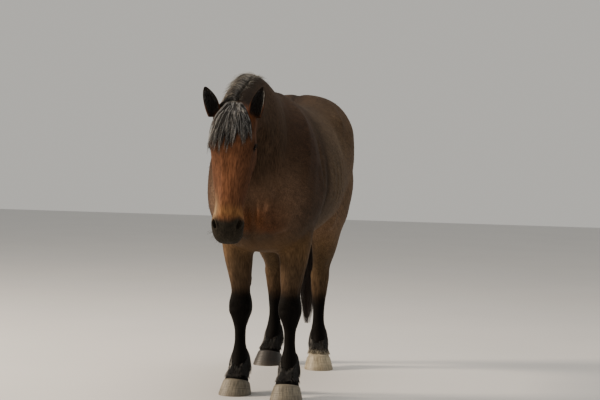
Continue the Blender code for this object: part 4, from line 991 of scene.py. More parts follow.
cuts = [mesh_of_rings("opening", almond(name)) for name in EYES]
room = (EYE_RADIUS + 0.0004,) * 3
cuts += [mesh_of_rings("room", ball(middle, room, np.eye(3), 48)) for middle in EYES.values()]
for side in (1, -1):
    hollow = ball(nostril_middle(side), NOSTRIL_RADII, nostril_frame(side))
    cuts.append(mesh_of_rings("nostril", hollow))
# The mouth runs from beyond the lips to its corners, and is cut 2.2 mm high right across the head.
MOUTH = np.array(((-0.104, 0.745), (-0.122, 0.598)))
MOUTH_HALF_HEIGHT = 0.0011
MOUTH_REACH = 0.2
way = np.diff(MOUTH, axis=0)[0]
square = np.array((-way[1], way[0])) / np.linalg.norm(way) * MOUTH_HALF_HEIGHT
slit_corners = ((1, square), (-1, square), (-1, -square), (1, -square))
slit = [[(side * MOUTH_REACH, *(place + off)) for side, off in slit_corners] for place in MOUTH]
cuts.append(mesh_of_rings("mouth", from_head(slit)))
skin = boolean(skin, "DIFFERENCE", cuts)
print("cut skin:", len(skin.polygons), "faces")

# %% [markdown]
# ## Ears
# An ear is a leaf rolled into a cup, widest a third of the way up and drawn to a point. A grid
# runs up it and round it: the angle round the cup opens towards the tip. Solidify gives it its
# wall, it is joined to the skin, and the skin is drawn smooth over its root.

# %% Ears
EAR_LENGTH = 0.170
EAR_WIDTH = 0.067
EAR_ROOT = (0.116, -0.055, 0.040)
EAR_ROWS, EAR_COLUMNS = 30, 22
EAR_WALL = 0.0042
EAR_LEAN = {1: math.radians(5), -1: math.radians(15)}
EAR_TWIST = {1: math.radians(10), -1: math.radians(22)}


def ear_frame(side):
    """Turn of the ear: rolled about its length, tipped forward, and leant out from the poll."""
    lean = Matrix.Rotation(side * EAR_LEAN[side], 3, "Y")
    forward = Matrix.Rotation(math.radians(-4), 3, "X")
    twist = Matrix.Rotation(side * EAR_TWIST[side], 3, "Z")
    return HEAD_AXES @ np.array(lean @ forward @ twist)


def ear_point(up, around, side, depth=0.0):
    """Half width w(up); x = r sin(angle), y = r (1 - cos(angle)) less a curl back, z = length * up."""
    half = EAR_WIDTH / 2 * np.sin(np.pi * (0.30 + 0.70 * up) ** 1.15) ** 0.75 * 1.02 + 0.002
    bend = 1.9 * (1 - 0.45 * up)
    radius = half / np.sin(np.minimum(bend, math.pi / 2)) - depth
    x = radius * np.sin(around * bend)
    y = depth + radius * (1 - np.cos(around * bend)) - 0.020 * up**2
    local = np.stack([x, y, EAR_LENGTH * up], axis=-1)
    return local @ ear_frame(side).T + from_head((side * EAR_ROOT[0], EAR_ROOT[1], EAR_ROOT[2]))


def ear(side):
    """The ear as a closed mesh: its grid of points with a wall and rounded edges."""
    shares = np.linspace(0, 1, EAR_ROWS), np.linspace(-1, 1, EAR_COLUMNS)
    up, around = np.meshgrid(*shares, indexing="ij")
    grid = ear_point(up, around, side).reshape(-1, 3)
    quads = grid_quads(EAR_ROWS, EAR_COLUMNS, closed=False)
    obj = new_object("ear", mesh_from_arrays("ear", grid, quads))
    wall = obj.modifiers.new("wall", "SOLIDIFY")
    wall.thickness = EAR_WALL
    wall.offset = 0
    rounded = obj.modifiers.new("rounded", "BEVEL")
    rounded.width = 0.0012
    rounded.segments = 2
    rounded.limit_method = "ANGLE"
    return evaluated_mesh(obj)


skin = boolean(skin, "UNION", [ear(1), ear(-1)])
bm = bmesh.new()
bm.from_mesh(skin)
bmesh.ops.triangulate(bm, faces=bm.faces)
bm.to_mesh(skin)
bm.free()
points, _ = points_and_normals(skin)
root_weight = np.zeros(len(points))
for side in (1, -1):
    low, high = ear_point(np.array((0.05, 0.16)), np.zeros(2), side)
    _, off = along_line(points, low, high)
    root_weight = np.maximum(root_weight, 0.6 * (1 - smoothstep(0.030, 0.048, off)))
set_points(skin, relaxed(points, skin, root_weight, 5))
print("skin with ears:", len(skin.polygons), "triangles")

# %% [markdown]
# ## Bay roan with black points
# The horse is a dark bay: brown over the body, redder on the face, and black on the mane, tail,
# ears, muzzle and lower legs. White hairs mixed into the trunk turn it greyish. The colour is
# worked out from the place on the body, so that the skin and every tuft on it agree. Alpha carries
# the share of white hairs.


# %% The coat's colours by place
def mottle(points, size):
    """A soft pattern from -1 to 1: the mean of six swayed sines of the place in fixed directions."""
    ways = np.random.default_rng(11).normal(size=(6, 3))
    ways *= 2 * math.pi / size / np.linalg.norm(ways, axis=1)[:, None]
    phase = points @ ways.T + np.arange(6) * 1.7
    return np.sin(phase + 0.8 * np.sin(phase[:, ::-1] * 0.63)).mean(axis=1)


def paint(base, colour, share):
    """Base colours mixed with one colour (hex, or linear rows) by each point's share."""
    target = linear(colour) if isinstance(colour, str) else colour
    return base + (target - base) * np.clip(share, 0, 1)[:, None]


def bell(points, middle, spread):
    """exp(-d * d / 2) of the distance to the middle, in spreads, on both sides of the body."""
    mirrored = np.column_stack([np.abs(points[:, 0]), points[:, 1:]])
    return np.exp(-0.5 * (((mirrored - middle) / spread) ** 2).sum(axis=1))


# %% Colours of the trunk
# Hair of the white coronet, and one factor that darkens every tone of the neck and trunk.
WHITE_HAIR = "#a79e8b"
BODY_DEPTH = 0.84

# Tones painted over each other: colour, share, and the middle and spread of the bell that it fills.
BODY_TONES = (
    ("#544535", 1.0, (0.34, 0.08, 1.28), (0.20, 0.34, 0.26)),
    ("#34241a", 1.0, (0.25, -0.60, 1.35), (0.20, 0.16, 0.30)),
    # Painted shade: a dark band behind each shoulder, where the fold between shoulder and barrel lies in shade.
    ("#21160f", 0.7, (0.30, -0.31, 1.22), (0.09, 0.035, 0.28)),
    ("#665040", 1.0, (0.10, -0.93, 1.05), (0.16, 0.12, 0.16)),
    # Painted light: a small warm patch low on the breast, on each side of the middle, stands for light falling there.
    ("#754c2e", 1.0, (0.030, -0.925, 0.985), (0.026, 0.060, 0.040)),
    ("#705639", 1.0, (0.20, 0.05, 0.80), (0.20, 0.60, 0.07)),
    ("#64503d", 1.0, (0.26, 0.62, 1.15), (0.20, 0.25, 0.25)),
    ("#655040", 1.0, (0.14, 0.45, 0.95), (0.10, 0.25, 0.12)),
)
# White hairs among the dark ones: a share everywhere, and more in each bell.
ROAN_EVERYWHERE = 0.08
ROAN_BELLS = (
    (0.26, (0.30, 0.05, 1.25), (0.30, 0.50, 0.35)),
    (0.20, (0.15, -0.90, 1.10), (0.20, 0.14, 0.20)),
    (0.16, (0.10, 0.55, 1.60), (0.25, 0.25, 0.15)),
)


def trunk_colour(points):
    """Colour of the trunk and neck, with a dark stripe down the back, painted shade behind each shoulder, a painted
    patch of light low on the breast, and the share of white hairs.
    """
    colour = np.tile(linear("#3b2d22"), (len(points), 1))
    for tone, share, middle, spread in BODY_TONES:
        colour = paint(colour, tone, share * bell(points, middle, spread))
    colour = paint(colour, "#3f3126", smoothstep(0, 0.12, beyond(points, NECK_CUT)) * 0.9)
    stripe = np.exp(-0.5 * (points[:, 0] / 0.035) ** 2) * smoothstep(1.5, 1.6, points[:, 2])
    colour = paint(colour, "#1a120c", 0.8 * stripe)
    roan = np.full(len(points), ROAN_EVERYWHERE)
    for share, middle, spread in ROAN_BELLS:
        roan += share * bell(points, middle, spread)
    return colour * BODY_DEPTH, roan


# %% Colours of the head
def face_colour(points, small):
    """Colour of the head, and how far down the face each point lies, frayed by the small pattern."""
    across, out, down = to_head(points).T
    face = np.tile(linear("#4c3223"), (len(points), 1))
    # Painted highlight: a lighter band down the front of the face, along the nasal bone, stands for light on the
    # ridge.
    face = paint(face, "#6d4731", np.exp(-0.5 * (across / 0.042) ** 2) * smoothstep(-0.06, -0.01, out))
    face = paint(face, "#3b2315", smoothstep(-0.10, -0.22, out) * 0.7)
    face = paint(face, "#472a18", 0.8 * (1 - smoothstep(0.02, 0.12, down)))
    poll = np.exp(-0.5 * (((np.abs(across) - 0.065) / 0.022) ** 2 + ((down - 0.005) / 0.035) ** 2))
    face = paint(face, "#6a3a1c", 0.9 * poll)
    band = 0.8 * np.exp(-0.5 * ((down - 0.545) / 0.022) ** 2)
    face = paint(face, "#7d5937", band * smoothstep(-0.12, -0.04, out))
    patch = ((across + 0.070) / 0.016) ** 2 + ((down - 0.535) / 0.045) ** 2 + ((out + 0.045) / 0.03) ** 2
    face = paint(face, "#7c6a52", np.exp(-0.5 * patch))
    for middle in EYES.values():
        distance = np.linalg.norm(points - middle, axis=1)
        face = paint(face, "#1c110b", np.exp(-0.5 * (distance / 0.030) ** 4) * 0.8)
        face = paint(face, "#080605", 1 - smoothstep(0.0240, 0.0262, distance))
    nostrils = np.exp(-0.5 * ((np.abs(across) - 0.060) / 0.018) ** 2)
    edge = down + 0.012 * small + 0.012 * nostrils + 0.12 * np.clip(-0.10 - out, 0, 1)
    return paint(face, "#28241e", smoothstep(0.568, 0.604, edge)), edge


def ear_share(points):
    """1 on the ears, falling to 0 away from their middle lines and below their roots."""
    ears = np.zeros(len(points))
    for side in (1, -1):
        low, high = ear_point(np.array((0.12, 1.0)), np.zeros(2), side)
        share, off = along_line(points, low, high)
        inside = 1 - smoothstep(0.048, 0.057, off)
        ears = np.maximum(ears, inside * smoothstep(-0.24, -0.04, share))
    return ears


# %% Colour of the whole horse
def coat_colour(points):
    """Linear RGB and the share of white hairs at each point of the body."""
    y, z = points[:, 1], points[:, 2]
    wide = mottle(points, 0.30)
    small = mottle(points, 0.06)
    colour, roan = trunk_colour(points)
    head = smoothstep(-0.02, 0.09, beyond(points, HEAD_CUT))
    face, edge = face_colour(points, small)
    brown = head * (1 - smoothstep(0.55, 0.59, edge))
    colour = paint(colour, face, head)
    roan = roan * (1 - head) + 0.06 * brown

    ears = ear_share(points)
    colour = paint(colour, "#1c1713", ears * 0.92)
    roan *= 1 - ears

    forearm = bell(points, (0.16, -0.50, 0.70), (0.10, 0.16, 0.10))
    colour = paint(colour, "#46382a", 0.8 * forearm)
    colour = paint(colour, "#453727", bell(points, (0.14, 0.68, 0.66), (0.12, 0.20, 0.14)))
    top = np.where(y < 0, 0.570, 0.440) + 0.015 * wide + 0.010 * small
    points_black = 1 - smoothstep(top - 0.040, top + 0.050, z)
    colour = paint(colour, "#0b0908", points_black)
    fetlock = np.exp(-0.5 * ((z - 0.20) / 0.07) ** 2)
    roan = roan * (1 - points_black) + 0.05 * fetlock
    colour *= (1 + 0.18 * wide + 0.14 * small)[:, None]
    white = (points[:, 0] > 0) * (y > 0) * (1 - smoothstep(0.085, 0.105, z + 0.01 * small))
    colour = paint(colour, WHITE_HAIR, white)
    return np.column_stack([np.clip(colour, 0, 1), np.clip(roan, 0, 1)])


# %% [markdown]
# ## The lie of the coat
# Short hair lies along the body like shingles: down the face, down and back over the neck and
# shoulder, back along the barrel, straight down the legs. One field of directions serves every
# tuft. The fur between the tufts is noise drawn out seven times along one of three fixed
# directions, so that it reads as hairs, and the skin carries the share of each direction.

# %% Direction of the hair
def unit(vectors):
    """Vectors divided by their own length."""
    return vectors / np.maximum(np.linalg.norm(vectors, axis=-1, keepdims=True), 1e-9)


def lie(points, normals):
    """Hair direction: a mix of region directions by place, laid flat on the skin."""
    head = smoothstep(-0.04, 0.08, beyond(points, HEAD_CUT))[:, None]
    neck_share = smoothstep(-0.10, 0.15, beyond(points, NECK_CUT))[:, None]
    legs = (1 - smoothstep(0.72, 0.95, points[:, 2]))[:, None]
    haunch = smoothstep(0.35, 0.70, points[:, 1])[:, None]
    way = np.tile((0.0, 0.90, -0.42), (len(points), 1))
    way += ((0.0, 0.45, -0.90) - way) * haunch
    way += ((0.0, 0.40, -0.92) - way) * neck_share
    way += ((0.0, 0.08, -1.00) - way) * legs
    down_face = HEAD_AXES @ (0, 0, -1)
    way += (down_face - way) * head
    way += (0.10 * mottle(points, 0.25))[:, None] * np.cross(way, normals)
    return unit(way - (way * normals).sum(axis=1)[:, None] * normals)


def lie_shares(points):
    """How much of the fur runs down (x) and down the face (y), the rest running back."""
    head = smoothstep(-0.04, 0.08, beyond(points, HEAD_CUT))
    down = np.maximum(1 - smoothstep(0.75, 1.00, points[:, 2]), smoothstep(0.35, 0.70, points[:, 1]))
    down = np.maximum(down, smoothstep(-0.10, 0.15, beyond(points, NECK_CUT)))
    return np.column_stack([down, head, 0 * head])


def store(mesh, name, kind, values):
    """Keeps values on the mesh's points: FLOAT_COLOR (n, 4) or FLOAT_VECTOR (n, 3)."""
    layer = mesh.attributes.new(name, kind, "POINT")
    layer.data.foreach_set("color" if kind == "FLOAT_COLOR" else "vector", values.astype(np.float32).ravel())


# %% [markdown]
# ## A short summer coat
# Real name: horse hair, 1 to 2 cm long, grown. Each hair is a dark, slightly greasy rod, but they
# stand at many angles and this horse shows only a faint sheen, so the finish is rough and mirrors
# little. A hair is 0.08 mm thick, too fine for the render, so the noise draws clumps of hairs
# 2.5 mm across. White roan hairs are flecks where another channel of the noise passes a threshold
# that falls as their share rises.


# %% Coat material
def shader(name, roughness):
    """A new material with its tree and its Principled shader."""
    made = bpy.data.materials.new(name)
    made.use_nodes = True
    surface = made.node_tree.nodes["Principled BSDF"]
    surface.inputs["Roughness"].default_value = roughness
    return made, made.node_tree, surface


CLUMP = 0.0025
ROAN_HAIR = linear("#8b8072")
BACK, DOWN, FACE = (math.radians(angle) for angle in (65, 12, -16))

# Settings that several finishes share.
OF_COLOURS = {"data_type": "RGBA"}
BY_FACTOR = {"operation": "SCALE"}
PRODUCT = {"operation": "MULTIPLY"}


def fur(tree, scale, detail):
    """Noise drawn out along the hair: three turned and stretched copies, mixed by the skin's shares."""
    place = node(tree, "ShaderNodeTexCoord").outputs["Object"]
    shares = node(tree, "ShaderNodeAttribute", {"attribute_name": "lay"}).outputs["Vector"]
    split = node(tree, "ShaderNodeSeparateXYZ", inputs={0: shares})
    runs = []
    for angle in (BACK, DOWN, FACE):
        turned = {"Vector": place, "Rotation": (angle, 0, 0), "Scale": (1, 1, 7)}
        along = node(tree, "ShaderNodeMapping", {"vector_type": "TEXTURE"}, turned).outputs[0]
        noise = {"Vector": along, "Scale": scale, "Detail": detail}
        runs.append(node(tree, "ShaderNodeTexNoise", inputs=noise).outputs["Color"])
    body = node(tree, "ShaderNodeMix", OF_COLOURS, {0: split.outputs[0], 6: runs[0], 7: runs[1]})
    shares = {0: split.outputs[1], 6: body.outputs[2], 7: runs[2]}
    whole = node(tree, "ShaderNodeMix", OF_COLOURS, shares)
    return node(tree, "ShaderNodeSeparateColor", inputs={0: whole.outputs[2]})


def horse_coat():
    """Dark and light hairs and locks over the coat's own colours, with pale flecks of roan."""
    made, tree, surface = shader("short_horse_coat", 0.70)
    surface.inputs["Specular IOR Level"].default_value = 0.05
    colour = node(tree, "ShaderNodeAttribute", {"attribute_name": "coat"})
    hairs = fur(tree, 0.5 / CLUMP, 2.0)
    locks = fur(tree, 0.11 / CLUMP, 2.0)
    depth = {0: hairs.outputs[0], 1: 0.32, 2: 0.68, 3: 0.60, 4: 1.36}
    depth = node(tree, "ShaderNodeMapRange", inputs=depth).outputs[0]
    shade = {0: locks.outputs[0], 1: 0.32, 2: 0.68, 3: 0.86, 4: 1.14}
    shade = node(tree, "ShaderNodeMapRange", inputs=shade).outputs[0]
    both = node(tree, "ShaderNodeMath", PRODUCT, {0: depth, 1: shade}).outputs[0]
    scaled = {0: colour.outputs["Color"], "Scale": both}
    toned = node(tree, "ShaderNodeVectorMath", BY_FACTOR, scaled).outputs[0]
    limit = {0: colour.outputs["Alpha"], 1: 0.0, 2: 0.6, 3: 0.80, 4: 0.50}
    limit = node(tree, "ShaderNodeMapRange", inputs=limit).outputs[0]
    passed = node(tree, "ShaderNodeMath", {"operation": "SUBTRACT"}, {0: hairs.outputs[1], 1: limit})
    white = {0: passed.outputs[0], 1: 0.0, 2: 0.10, 3: 0.0, 4: 0.16}
    white = node(tree, "ShaderNodeMapRange", inputs=white).outputs[0]
    flecked = node(tree, "ShaderNodeMix", OF_COLOURS, {0: white, 6: toned, 7: (*ROAN_HAIR, 1)})
    tree.links.new(flecked.outputs[2], surface.inputs["Base Color"])
    fine = {"Height": hairs.outputs[0], "Strength": 0.6, "Distance": 0.0012}
    fine = node(tree, "ShaderNodeBump", inputs=fine).outputs[0]
    waves = {"Height": locks.outputs[0], "Strength": 0.45, "Distance": 0.0030, "Normal": fine}
    tree.links.new(node(tree, "ShaderNodeBump", inputs=waves).outputs[0], surface.inputs["Normal"])
    return made


COAT = horse_coat()


def shown(obj, finish, slot, *nodes):
    """Gives a piece its finish, moves it to the row's place, and says what it rides on."""
    obj.data.materials.clear()
    obj.data.materials.append(finish)
    obj.data.transform(Matrix.Translation(SHIFT))
    obj.data.shade_smooth()
    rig.ride(obj, "root")
    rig.slot(obj, slot)
    if nodes:
        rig.replaces(obj, *nodes)


points, normals = points_and_normals(skin)
store(skin, "coat", "FLOAT_COLOR", coat_colour(points))
store(skin, "lay", "FLOAT_VECTOR", lie_shares(points))
skin_tree = BVHTree.FromPolygons(points.tolist(), [p.vertices[:] for p in skin.polygons])
skin_object = new_object("horse_skin", skin.copy())
shown(skin_object, COAT, "bay_coat", "torso", "neck", "head", "ear_left", "ear_right", *LEGS)
print("horse_skin:", len(skin.polygons), "triangles")

# %% [markdown]
# ## Hooves
# A hoof wall is horn that grows down from the coronet. It shows rings that run round it, one for
# each spell of growth, and fine streaks down it. The wall flares to the ground, and the sole is
# level. Three hooves are pale horn, whitest at the left hind, and the right hind one is dark.


# %% Hoof walls
HOOF_ROWS, HOOF_SIDES = 64, 96
RING_HEIGHT = 0.0005
RIM_WEAR = 0.0012
CORONET_DRAW = 0.0020


def hoof_wall(leg):
    """The wall's rings, moved out by 0.5 mm * sin(62 * share of the way up), the angle swayed.

    That makes about ten growth rings. The rim is worn in by 1.2 mm and the coronet by 2 mm.
    """
    rings = hoof_rings(leg, HOOF_ROWS, HOOF_SIDES)
    heart = rings.mean(axis=1, keepdims=True)
    share = np.linspace(0, 1, HOOF_ROWS)[:, None, None]
    off = rings - heart
    reach = np.linalg.norm(off, axis=2, keepdims=True)
    phase = share * 62 + 0.7 * np.sin(share * 9)
    phase = phase + 0.3 * np.sin(np.arange(HOOF_SIDES)[None, :, None] / 9)
    wave = RING_HEIGHT * np.sin(phase) * smoothstep(0.0, 0.1, share)
    worn = RIM_WEAR * np.exp(-share / 0.05)
    coronet = CORONET_DRAW * smoothstep(0.90, 1.0, share)
    return heart + off * (1 + (wave - worn - coronet) / reach)


def horn(name, pale, dark, roughness):
    """Keratin, grown in tubules and rasped: streaks down the wall, rings round it, mud at the rim."""
    made, tree, surface = shader(name, roughness)
    place = node(tree, "ShaderNodeUVMap", {"uv_map": "wall"}).outputs["UV"]
    down = node(tree, "ShaderNodeMapping", inputs={"Vector": place, "Scale": (90.0, 2.2, 1.0)})
    rings = node(tree, "ShaderNodeMapping", inputs={"Vector": place, "Scale": (2.0, 16.0, 1.0)})
    streaks = {"Vector": down.outputs[0], "Scale": 1.0, "Detail": 4.0}
    streaks = node(tree, "ShaderNodeTexNoise", inputs=streaks).outputs[0]
    growth = {"Vector": rings.outputs[0], "Scale": 1.0, "Detail": 3.0}
    growth = node(tree, "ShaderNodeTexNoise", inputs=growth).outputs[0]
    ramp = node(tree, "ShaderNodeMapRange", inputs={0: streaks, 1: 0.35, 2: 0.65})
    streaky = {0: ramp.outputs[0], 6: (*linear(dark), 1), 7: (*linear(pale), 1)}
    streaky = node(tree, "ShaderNodeMix", OF_COLOURS, streaky)
    tone = node(tree, "ShaderNodeMapRange", inputs={0: growth, 1: 0.3, 2: 0.7, 3: 0.66, 4: 1.22})
    toned = {0: streaky.outputs[2], "Scale": tone.outputs[0]}
    toned = node(tree, "ShaderNodeVectorMath", BY_FACTOR, toned)
    split = node(tree, "ShaderNodeSeparateXYZ", inputs={0: place})
    spots = node(tree, "ShaderNodeTexNoise", inputs={"Vector": place, "Scale": 14.0, "Detail": 5.0})
    low = {0: split.outputs[1], 1: 0.0, 2: 0.35, 3: 0.75, 4: 0.0}
    low = node(tree, "ShaderNodeMapRange", inputs=low)
    mud = node(tree, "ShaderNodeMath", PRODUCT, {0: low.outputs[0], 1: spots.outputs[0]})
    muddy = {0: mud.outputs[0], 6: toned.outputs[0], 7: (*linear("#4a4034"), 1)}
    muddy = node(tree, "ShaderNodeMix", OF_COLOURS, muddy)
    tree.links.new(muddy.outputs[2], surface.inputs["Base Color"])
    bump = node(tree, "ShaderNodeBump", inputs={"Height": streaks, "Strength": 0.35, "Distance": 0.0010})
    tree.links.new(bump.outputs[0], surface.inputs["Normal"])
    return made


# %% Three kinds of horn
PALE_HORN = horn("pale_hoof_horn", "#7b7464", "#4e493f", 0.60)
WHITE_HORN = horn("white_hoof_horn", "#a89e86", "#7a705c", 0.52)
DARK_HORN = horn("dark_hoof_horn", "#241f1b", "#14110f", 0.50)
HORNS = {
    "front_leg_left": (PALE_HORN, "pale_horn"),
    "front_leg_right": (PALE_HORN, "pale_horn"),
    "hind_leg_left": (WHITE_HORN, "pale_horn"),
    "hind_leg_right": (DARK_HORN, "dark_horn"),
}


# %% Hooves, each with its own map round and up the wall
def corner_numbers(mesh):
    """The number of the point at each corner of the mesh's faces."""
    number = np.empty(len(mesh.loops), np.int32)
    mesh.loops.foreach_get("vertex_index", number)
    return number


tree_points, tree_faces = [points], [np.array([p.vertices[:] for p in skin.polygons])]
for leg, (finish, slot) in HORNS.items():
    rings = hoof_wall(leg)
    mesh = mesh_of_rings("hoof", rings)
    wall = mesh.uv_layers.new(name="wall")
    number = np.minimum(corner_numbers(mesh), HOOF_ROWS * HOOF_SIDES - 1)
    round_up = [number % HOOF_SIDES / HOOF_SIDES, number // HOOF_SIDES / (HOOF_ROWS - 1)]
    wall.data.foreach_set("uv", np.column_stack(round_up).astype(np.float32).ravel())
    start = sum(len(p) for p in tree_points)
    quads = grid_quads(HOOF_ROWS, HOOF_SIDES) + start
    tree_points.append(rings.reshape(-1, 3))
    tree_faces.append(np.concatenate([quads[:, [0, 1, 2]], quads[:, [0, 2, 3]]]))
    node_name = leg.replace("leg", "hoof")
    shown(new_object(f"{node_name}_wall", mesh), finish, slot, node_name)
outer_tree = BVHTree.FromPolygons(np.concatenate(tree_points).tolist(), np.concatenate(tree_faces).tolist())
print("hooves:", len(HORNS))

# %% [markdown]
# ## Eyes
# A horse's eye is nearly all iris: dark brown, with a pupil that is a slot, drawn here along the
# lids. The ball's colour goes by the place across its front, and a clear coat over it stands for
# the wet cornea.


# %% Eyeballs
def eyeball(name):
    """A ball turned outwards; colour by p and q across its front, in shares of its radius."""
    axes = eye_frame(name)
    rings = ball(np.zeros(3), (1, 1, 1), np.eye(3), 72)
    rings = rings * (1 + 0.035 * smoothstep(0.70, 0.95, rings[:, :, 2:]))
    mesh = mesh_of_rings(name, rings * EYE_RADIUS @ axes + EYES[name])
    points, _ = points_and_normals(mesh)
    p, q, n = axes @ (points - EYES[name]).T / EYE_RADIUS
    level = np.hypot(p / 0.36, q / 0.15)
    edge = np.hypot(p, q)
    spokes = 0.5 + 0.5 * np.sin(np.arctan2(q, p) * 40 + 6 * edge)
    colour = paint(np.tile(linear("#2f1b0f"), (len(p), 1)), "#55341c", spokes * smoothstep(0.3, 0.6, edge))
    colour = paint(colour, "#16100c", smoothstep(0.68, 0.80, edge))
    colour = paint(colour, "#7d7062", smoothstep(0.86, 0.93, edge))
    colour = paint(colour, "#050506", 1 - smoothstep(0.92, 1.08, level))
    colour = paint(colour, "#7d7062", n < 0)
    store(mesh, "coat", "FLOAT_COLOR", np.column_stack([colour, np.ones(len(colour))]))
    return new_object(f"{name}_ball", mesh)


def wet_eye():
    """The ball's painted colours with fine fibres, under a clear wet coat."""
    made, tree, surface = shader("wet_cornea", 0.18)
    colour = node(tree, "ShaderNodeAttribute", {"attribute_name": "coat"})
    fibres = node(tree, "ShaderNodeTexNoise", inputs={"Scale": 900.0, "Detail": 2.0})
    tone = node(tree, "ShaderNodeMapRange", inputs={0: fibres.outputs[0], 3: 0.8, 4: 1.2})
    toned = {0: colour.outputs["Color"], "Scale": tone.outputs[0]}
    toned = node(tree, "ShaderNodeVectorMath", BY_FACTOR, toned)
    tree.links.new(toned.outputs[0], surface.inputs["Base Color"])
    surface.inputs["Coat Weight"].default_value = 1.0
    surface.inputs["Coat Roughness"].default_value = 0.02
    return made


WET = wet_eye()
for name in EYES:
    shown(eyeball(name), WET, "eye", name)
print("eyes at", [tuple((m + SHIFT).round(3)) for m in EYES.values()])

# %% [markdown]
# ## Hair as mesh
# Long hair is built as locks: a lock is a path that gravity and the body bend, and its strands
# keep to it, spread at first and drawn together at the tip. Each strand is a closed tube with
# three sides. Every strand also gets a tiny patch on a map named OFBake, at its root's place.


# %% The skin's unwrap
def leg_centre(leg, height):
    """The middle of a leg at a height, as x and y."""
    rings = leg_rings(leg).mean(axis=1)[::-1]
    return [np.interp(height, rings[:, 2], rings[:, k]) for k in (0, 1)]


def unwrapped(points):
    """Each root's place on seven charts of the skin: its share along the part and round it."""
    x, y, z = points.T
    across, out, down = to_head(points).T
    chart = np.where(z > 0.88, 0, np.where(y < 0, np.where(x > 0, 3, 4), np.where(x > 0, 5, 6)))
    chart = np.where((chart == 0) & (beyond(points, NECK_CUT) > 0), 1, chart)
    chart = np.where((chart < 2) & (beyond(points, HEAD_CUT) > 0), 2, chart)
    along = (y + 0.95) / 2.0
    around = np.arctan2(x, z - 1.2)
    along = np.where(chart == 1, (y + 1.25) / 0.6, along)
    around = np.where(chart == 1, np.arctan2(x - neck_bend(y), z - 1.4), around)
    along = np.where(chart == 2, (down + 0.2) / 0.95, along)
    around = np.where(chart == 2, np.arctan2(across, out + 0.11), around)
    for leg in LEGS:
        centre = leg_centre(leg, z)
        place = {"front_leg_left": 3, "front_leg_right": 4, "hind_leg_left": 5, "hind_leg_right": 6}[leg]
        along = np.where(chart == place, z / 0.9, along)
        around = np.where(chart == place, np.arctan2(x - centre[0], y - centre[1]), around)
    u = (chart % 4 + 0.03 + 0.92 * np.clip(along, 0, 1)) / 4
    v = (chart // 4 + 0.03 + 0.92 * (around / (2 * math.pi) + 0.5)) / 2
    return np.stack([u, v], axis=1)


# %% Strands and locks
# Depth of a strand over its width: of long hair, and of the flat tufts of the coat.
ROUND_STRAND = 0.8
FLAT_STRAND = 0.12


def strand_mesh(name, paths, outward, half_width, half_depth, colours):
    """Closed strands: at each step a ridge path + out * d and two edges path +- across * w."""
    count, steps, _ = paths.shape
    tangent = unit(np.gradient(paths, axis=1))
    across = unit(np.cross(tangent, outward))
    out = np.cross(across, tangent)
    wide = across * half_width[..., None]
    ring = np.stack([paths + out * half_depth[..., None], paths + wide, paths - wide], axis=2)
    start = np.arange(count)[:, None, None] * steps * 3
    quads = (grid_quads(steps, 3)[None] + start).reshape(-1, 4)
    last = (steps - 1) * 3
    caps = np.array(((2, 1, 0), (last, last + 1, last + 2)))
    caps = (caps[None] + start).reshape(-1, 3)
    mesh = mesh_from_arrays(name, ring.reshape(-1, 3), quads, caps)
    store(mesh, "coat", "FLOAT_COLOR", np.repeat(colours.reshape(-1, 4), 3, axis=0))
    share = np.linspace(0, 1, steps)[None, :, None]
    side = np.array((0.5, 1.0, 0.0))[None, None, :]
    corner = np.zeros((count, steps, 3, 2))
    corner[..., 0] = share
    corner[..., 1] = side
    patch = unwrapped(paths[:, 0])[:, None, None, :] + 0.003 * (corner - 0.5)
    number = corner_numbers(mesh)
    for title, place in (("OFBake", patch), ("strand", corner)):
        layer = mesh.uv_layers.new(name=title)
        layer.data.foreach_set("uv", place.reshape(-1, 2)[number].astype(np.float32).ravel())
    print(f"{name}: {count} strands, {count * (6 * steps - 4)} triangles")
    return new_object(name, mesh)


def combed(tree, root, pull, length, lift, steps):
    """A path of hair: from its root it follows the pull, and is held off the body by the lift."""
    points = [Vector(root)]
    for k in range(steps):
        point = points[-1] + Vector(pull((k + 0.5) / steps)).normalized() * (length / steps)
        near, normal, _, _ = tree.find_nearest(point)
        above = (point - near).dot(normal)
        if above < lift:
            point = near + normal * lift
        points.append(point)
    outward = [tree.find_nearest(p)[1] for p in points]
    return np.array(points), np.array(outward)


def bundle(path, outward, width, thickness, count, steps, rng, ragged=0.35, wave=0.003):
    """Strands of one lock: path(t) + across * (a w(t) + wave) + out * b d(t), each with its own end.

    The lock's half width is w(t) = width / 2 * min(1, 0.55 + 1.8 t) * (1 - t ** 2.2), where the
    solids keep a blunt tip, and its depth falls as 1 - t ** 1.5.
    """
    places = np.linspace(0, 1, len(path))
    end = 1 - ragged * rng.random(count) ** 1.5
    t = end[:, None] * np.linspace(0, 1, steps)[None, :]
    along = curve(places, np.column_stack([path, outward]), t.ravel()).reshape(count, steps, 6)
    centre, out = along[..., :3], unit(along[..., 3:])
    across = unit(np.cross(np.gradient(centre, axis=1), out))
    half = width / 2 * np.minimum(1, 0.55 + 1.8 * t) * (1 - t**2.2)
    a = rng.uniform(-1, 1, (count, 1))
    b = rng.random((count, 1)) * np.sqrt(np.clip(1 - a**2, 0, 1))
    sway = wave * t * np.sin(rng.uniform(5, 11, (count, 1)) * t + rng.uniform(0, 6.3, (count, 1)))
    paths = centre + across * (a * half + sway)[..., None]
    paths += out * (b * thickness * (1 - t**1.5) + 0.4 * sway * (t > 0.3))[..., None]
    return paths, out


def tapered(paths, rng, thick):
    """Half widths that shrink to the tip: thick * (0.75 to 1.25) * (1 - 0.92 * t ** 2.5)."""
    t = np.linspace(0, 1, paths.shape[1])[None, :]
    return thick * rng.uniform(0.75, 1.25, (len(paths), 1)) * (1 - 0.92 * t**2.5) * np.ones_like(t)


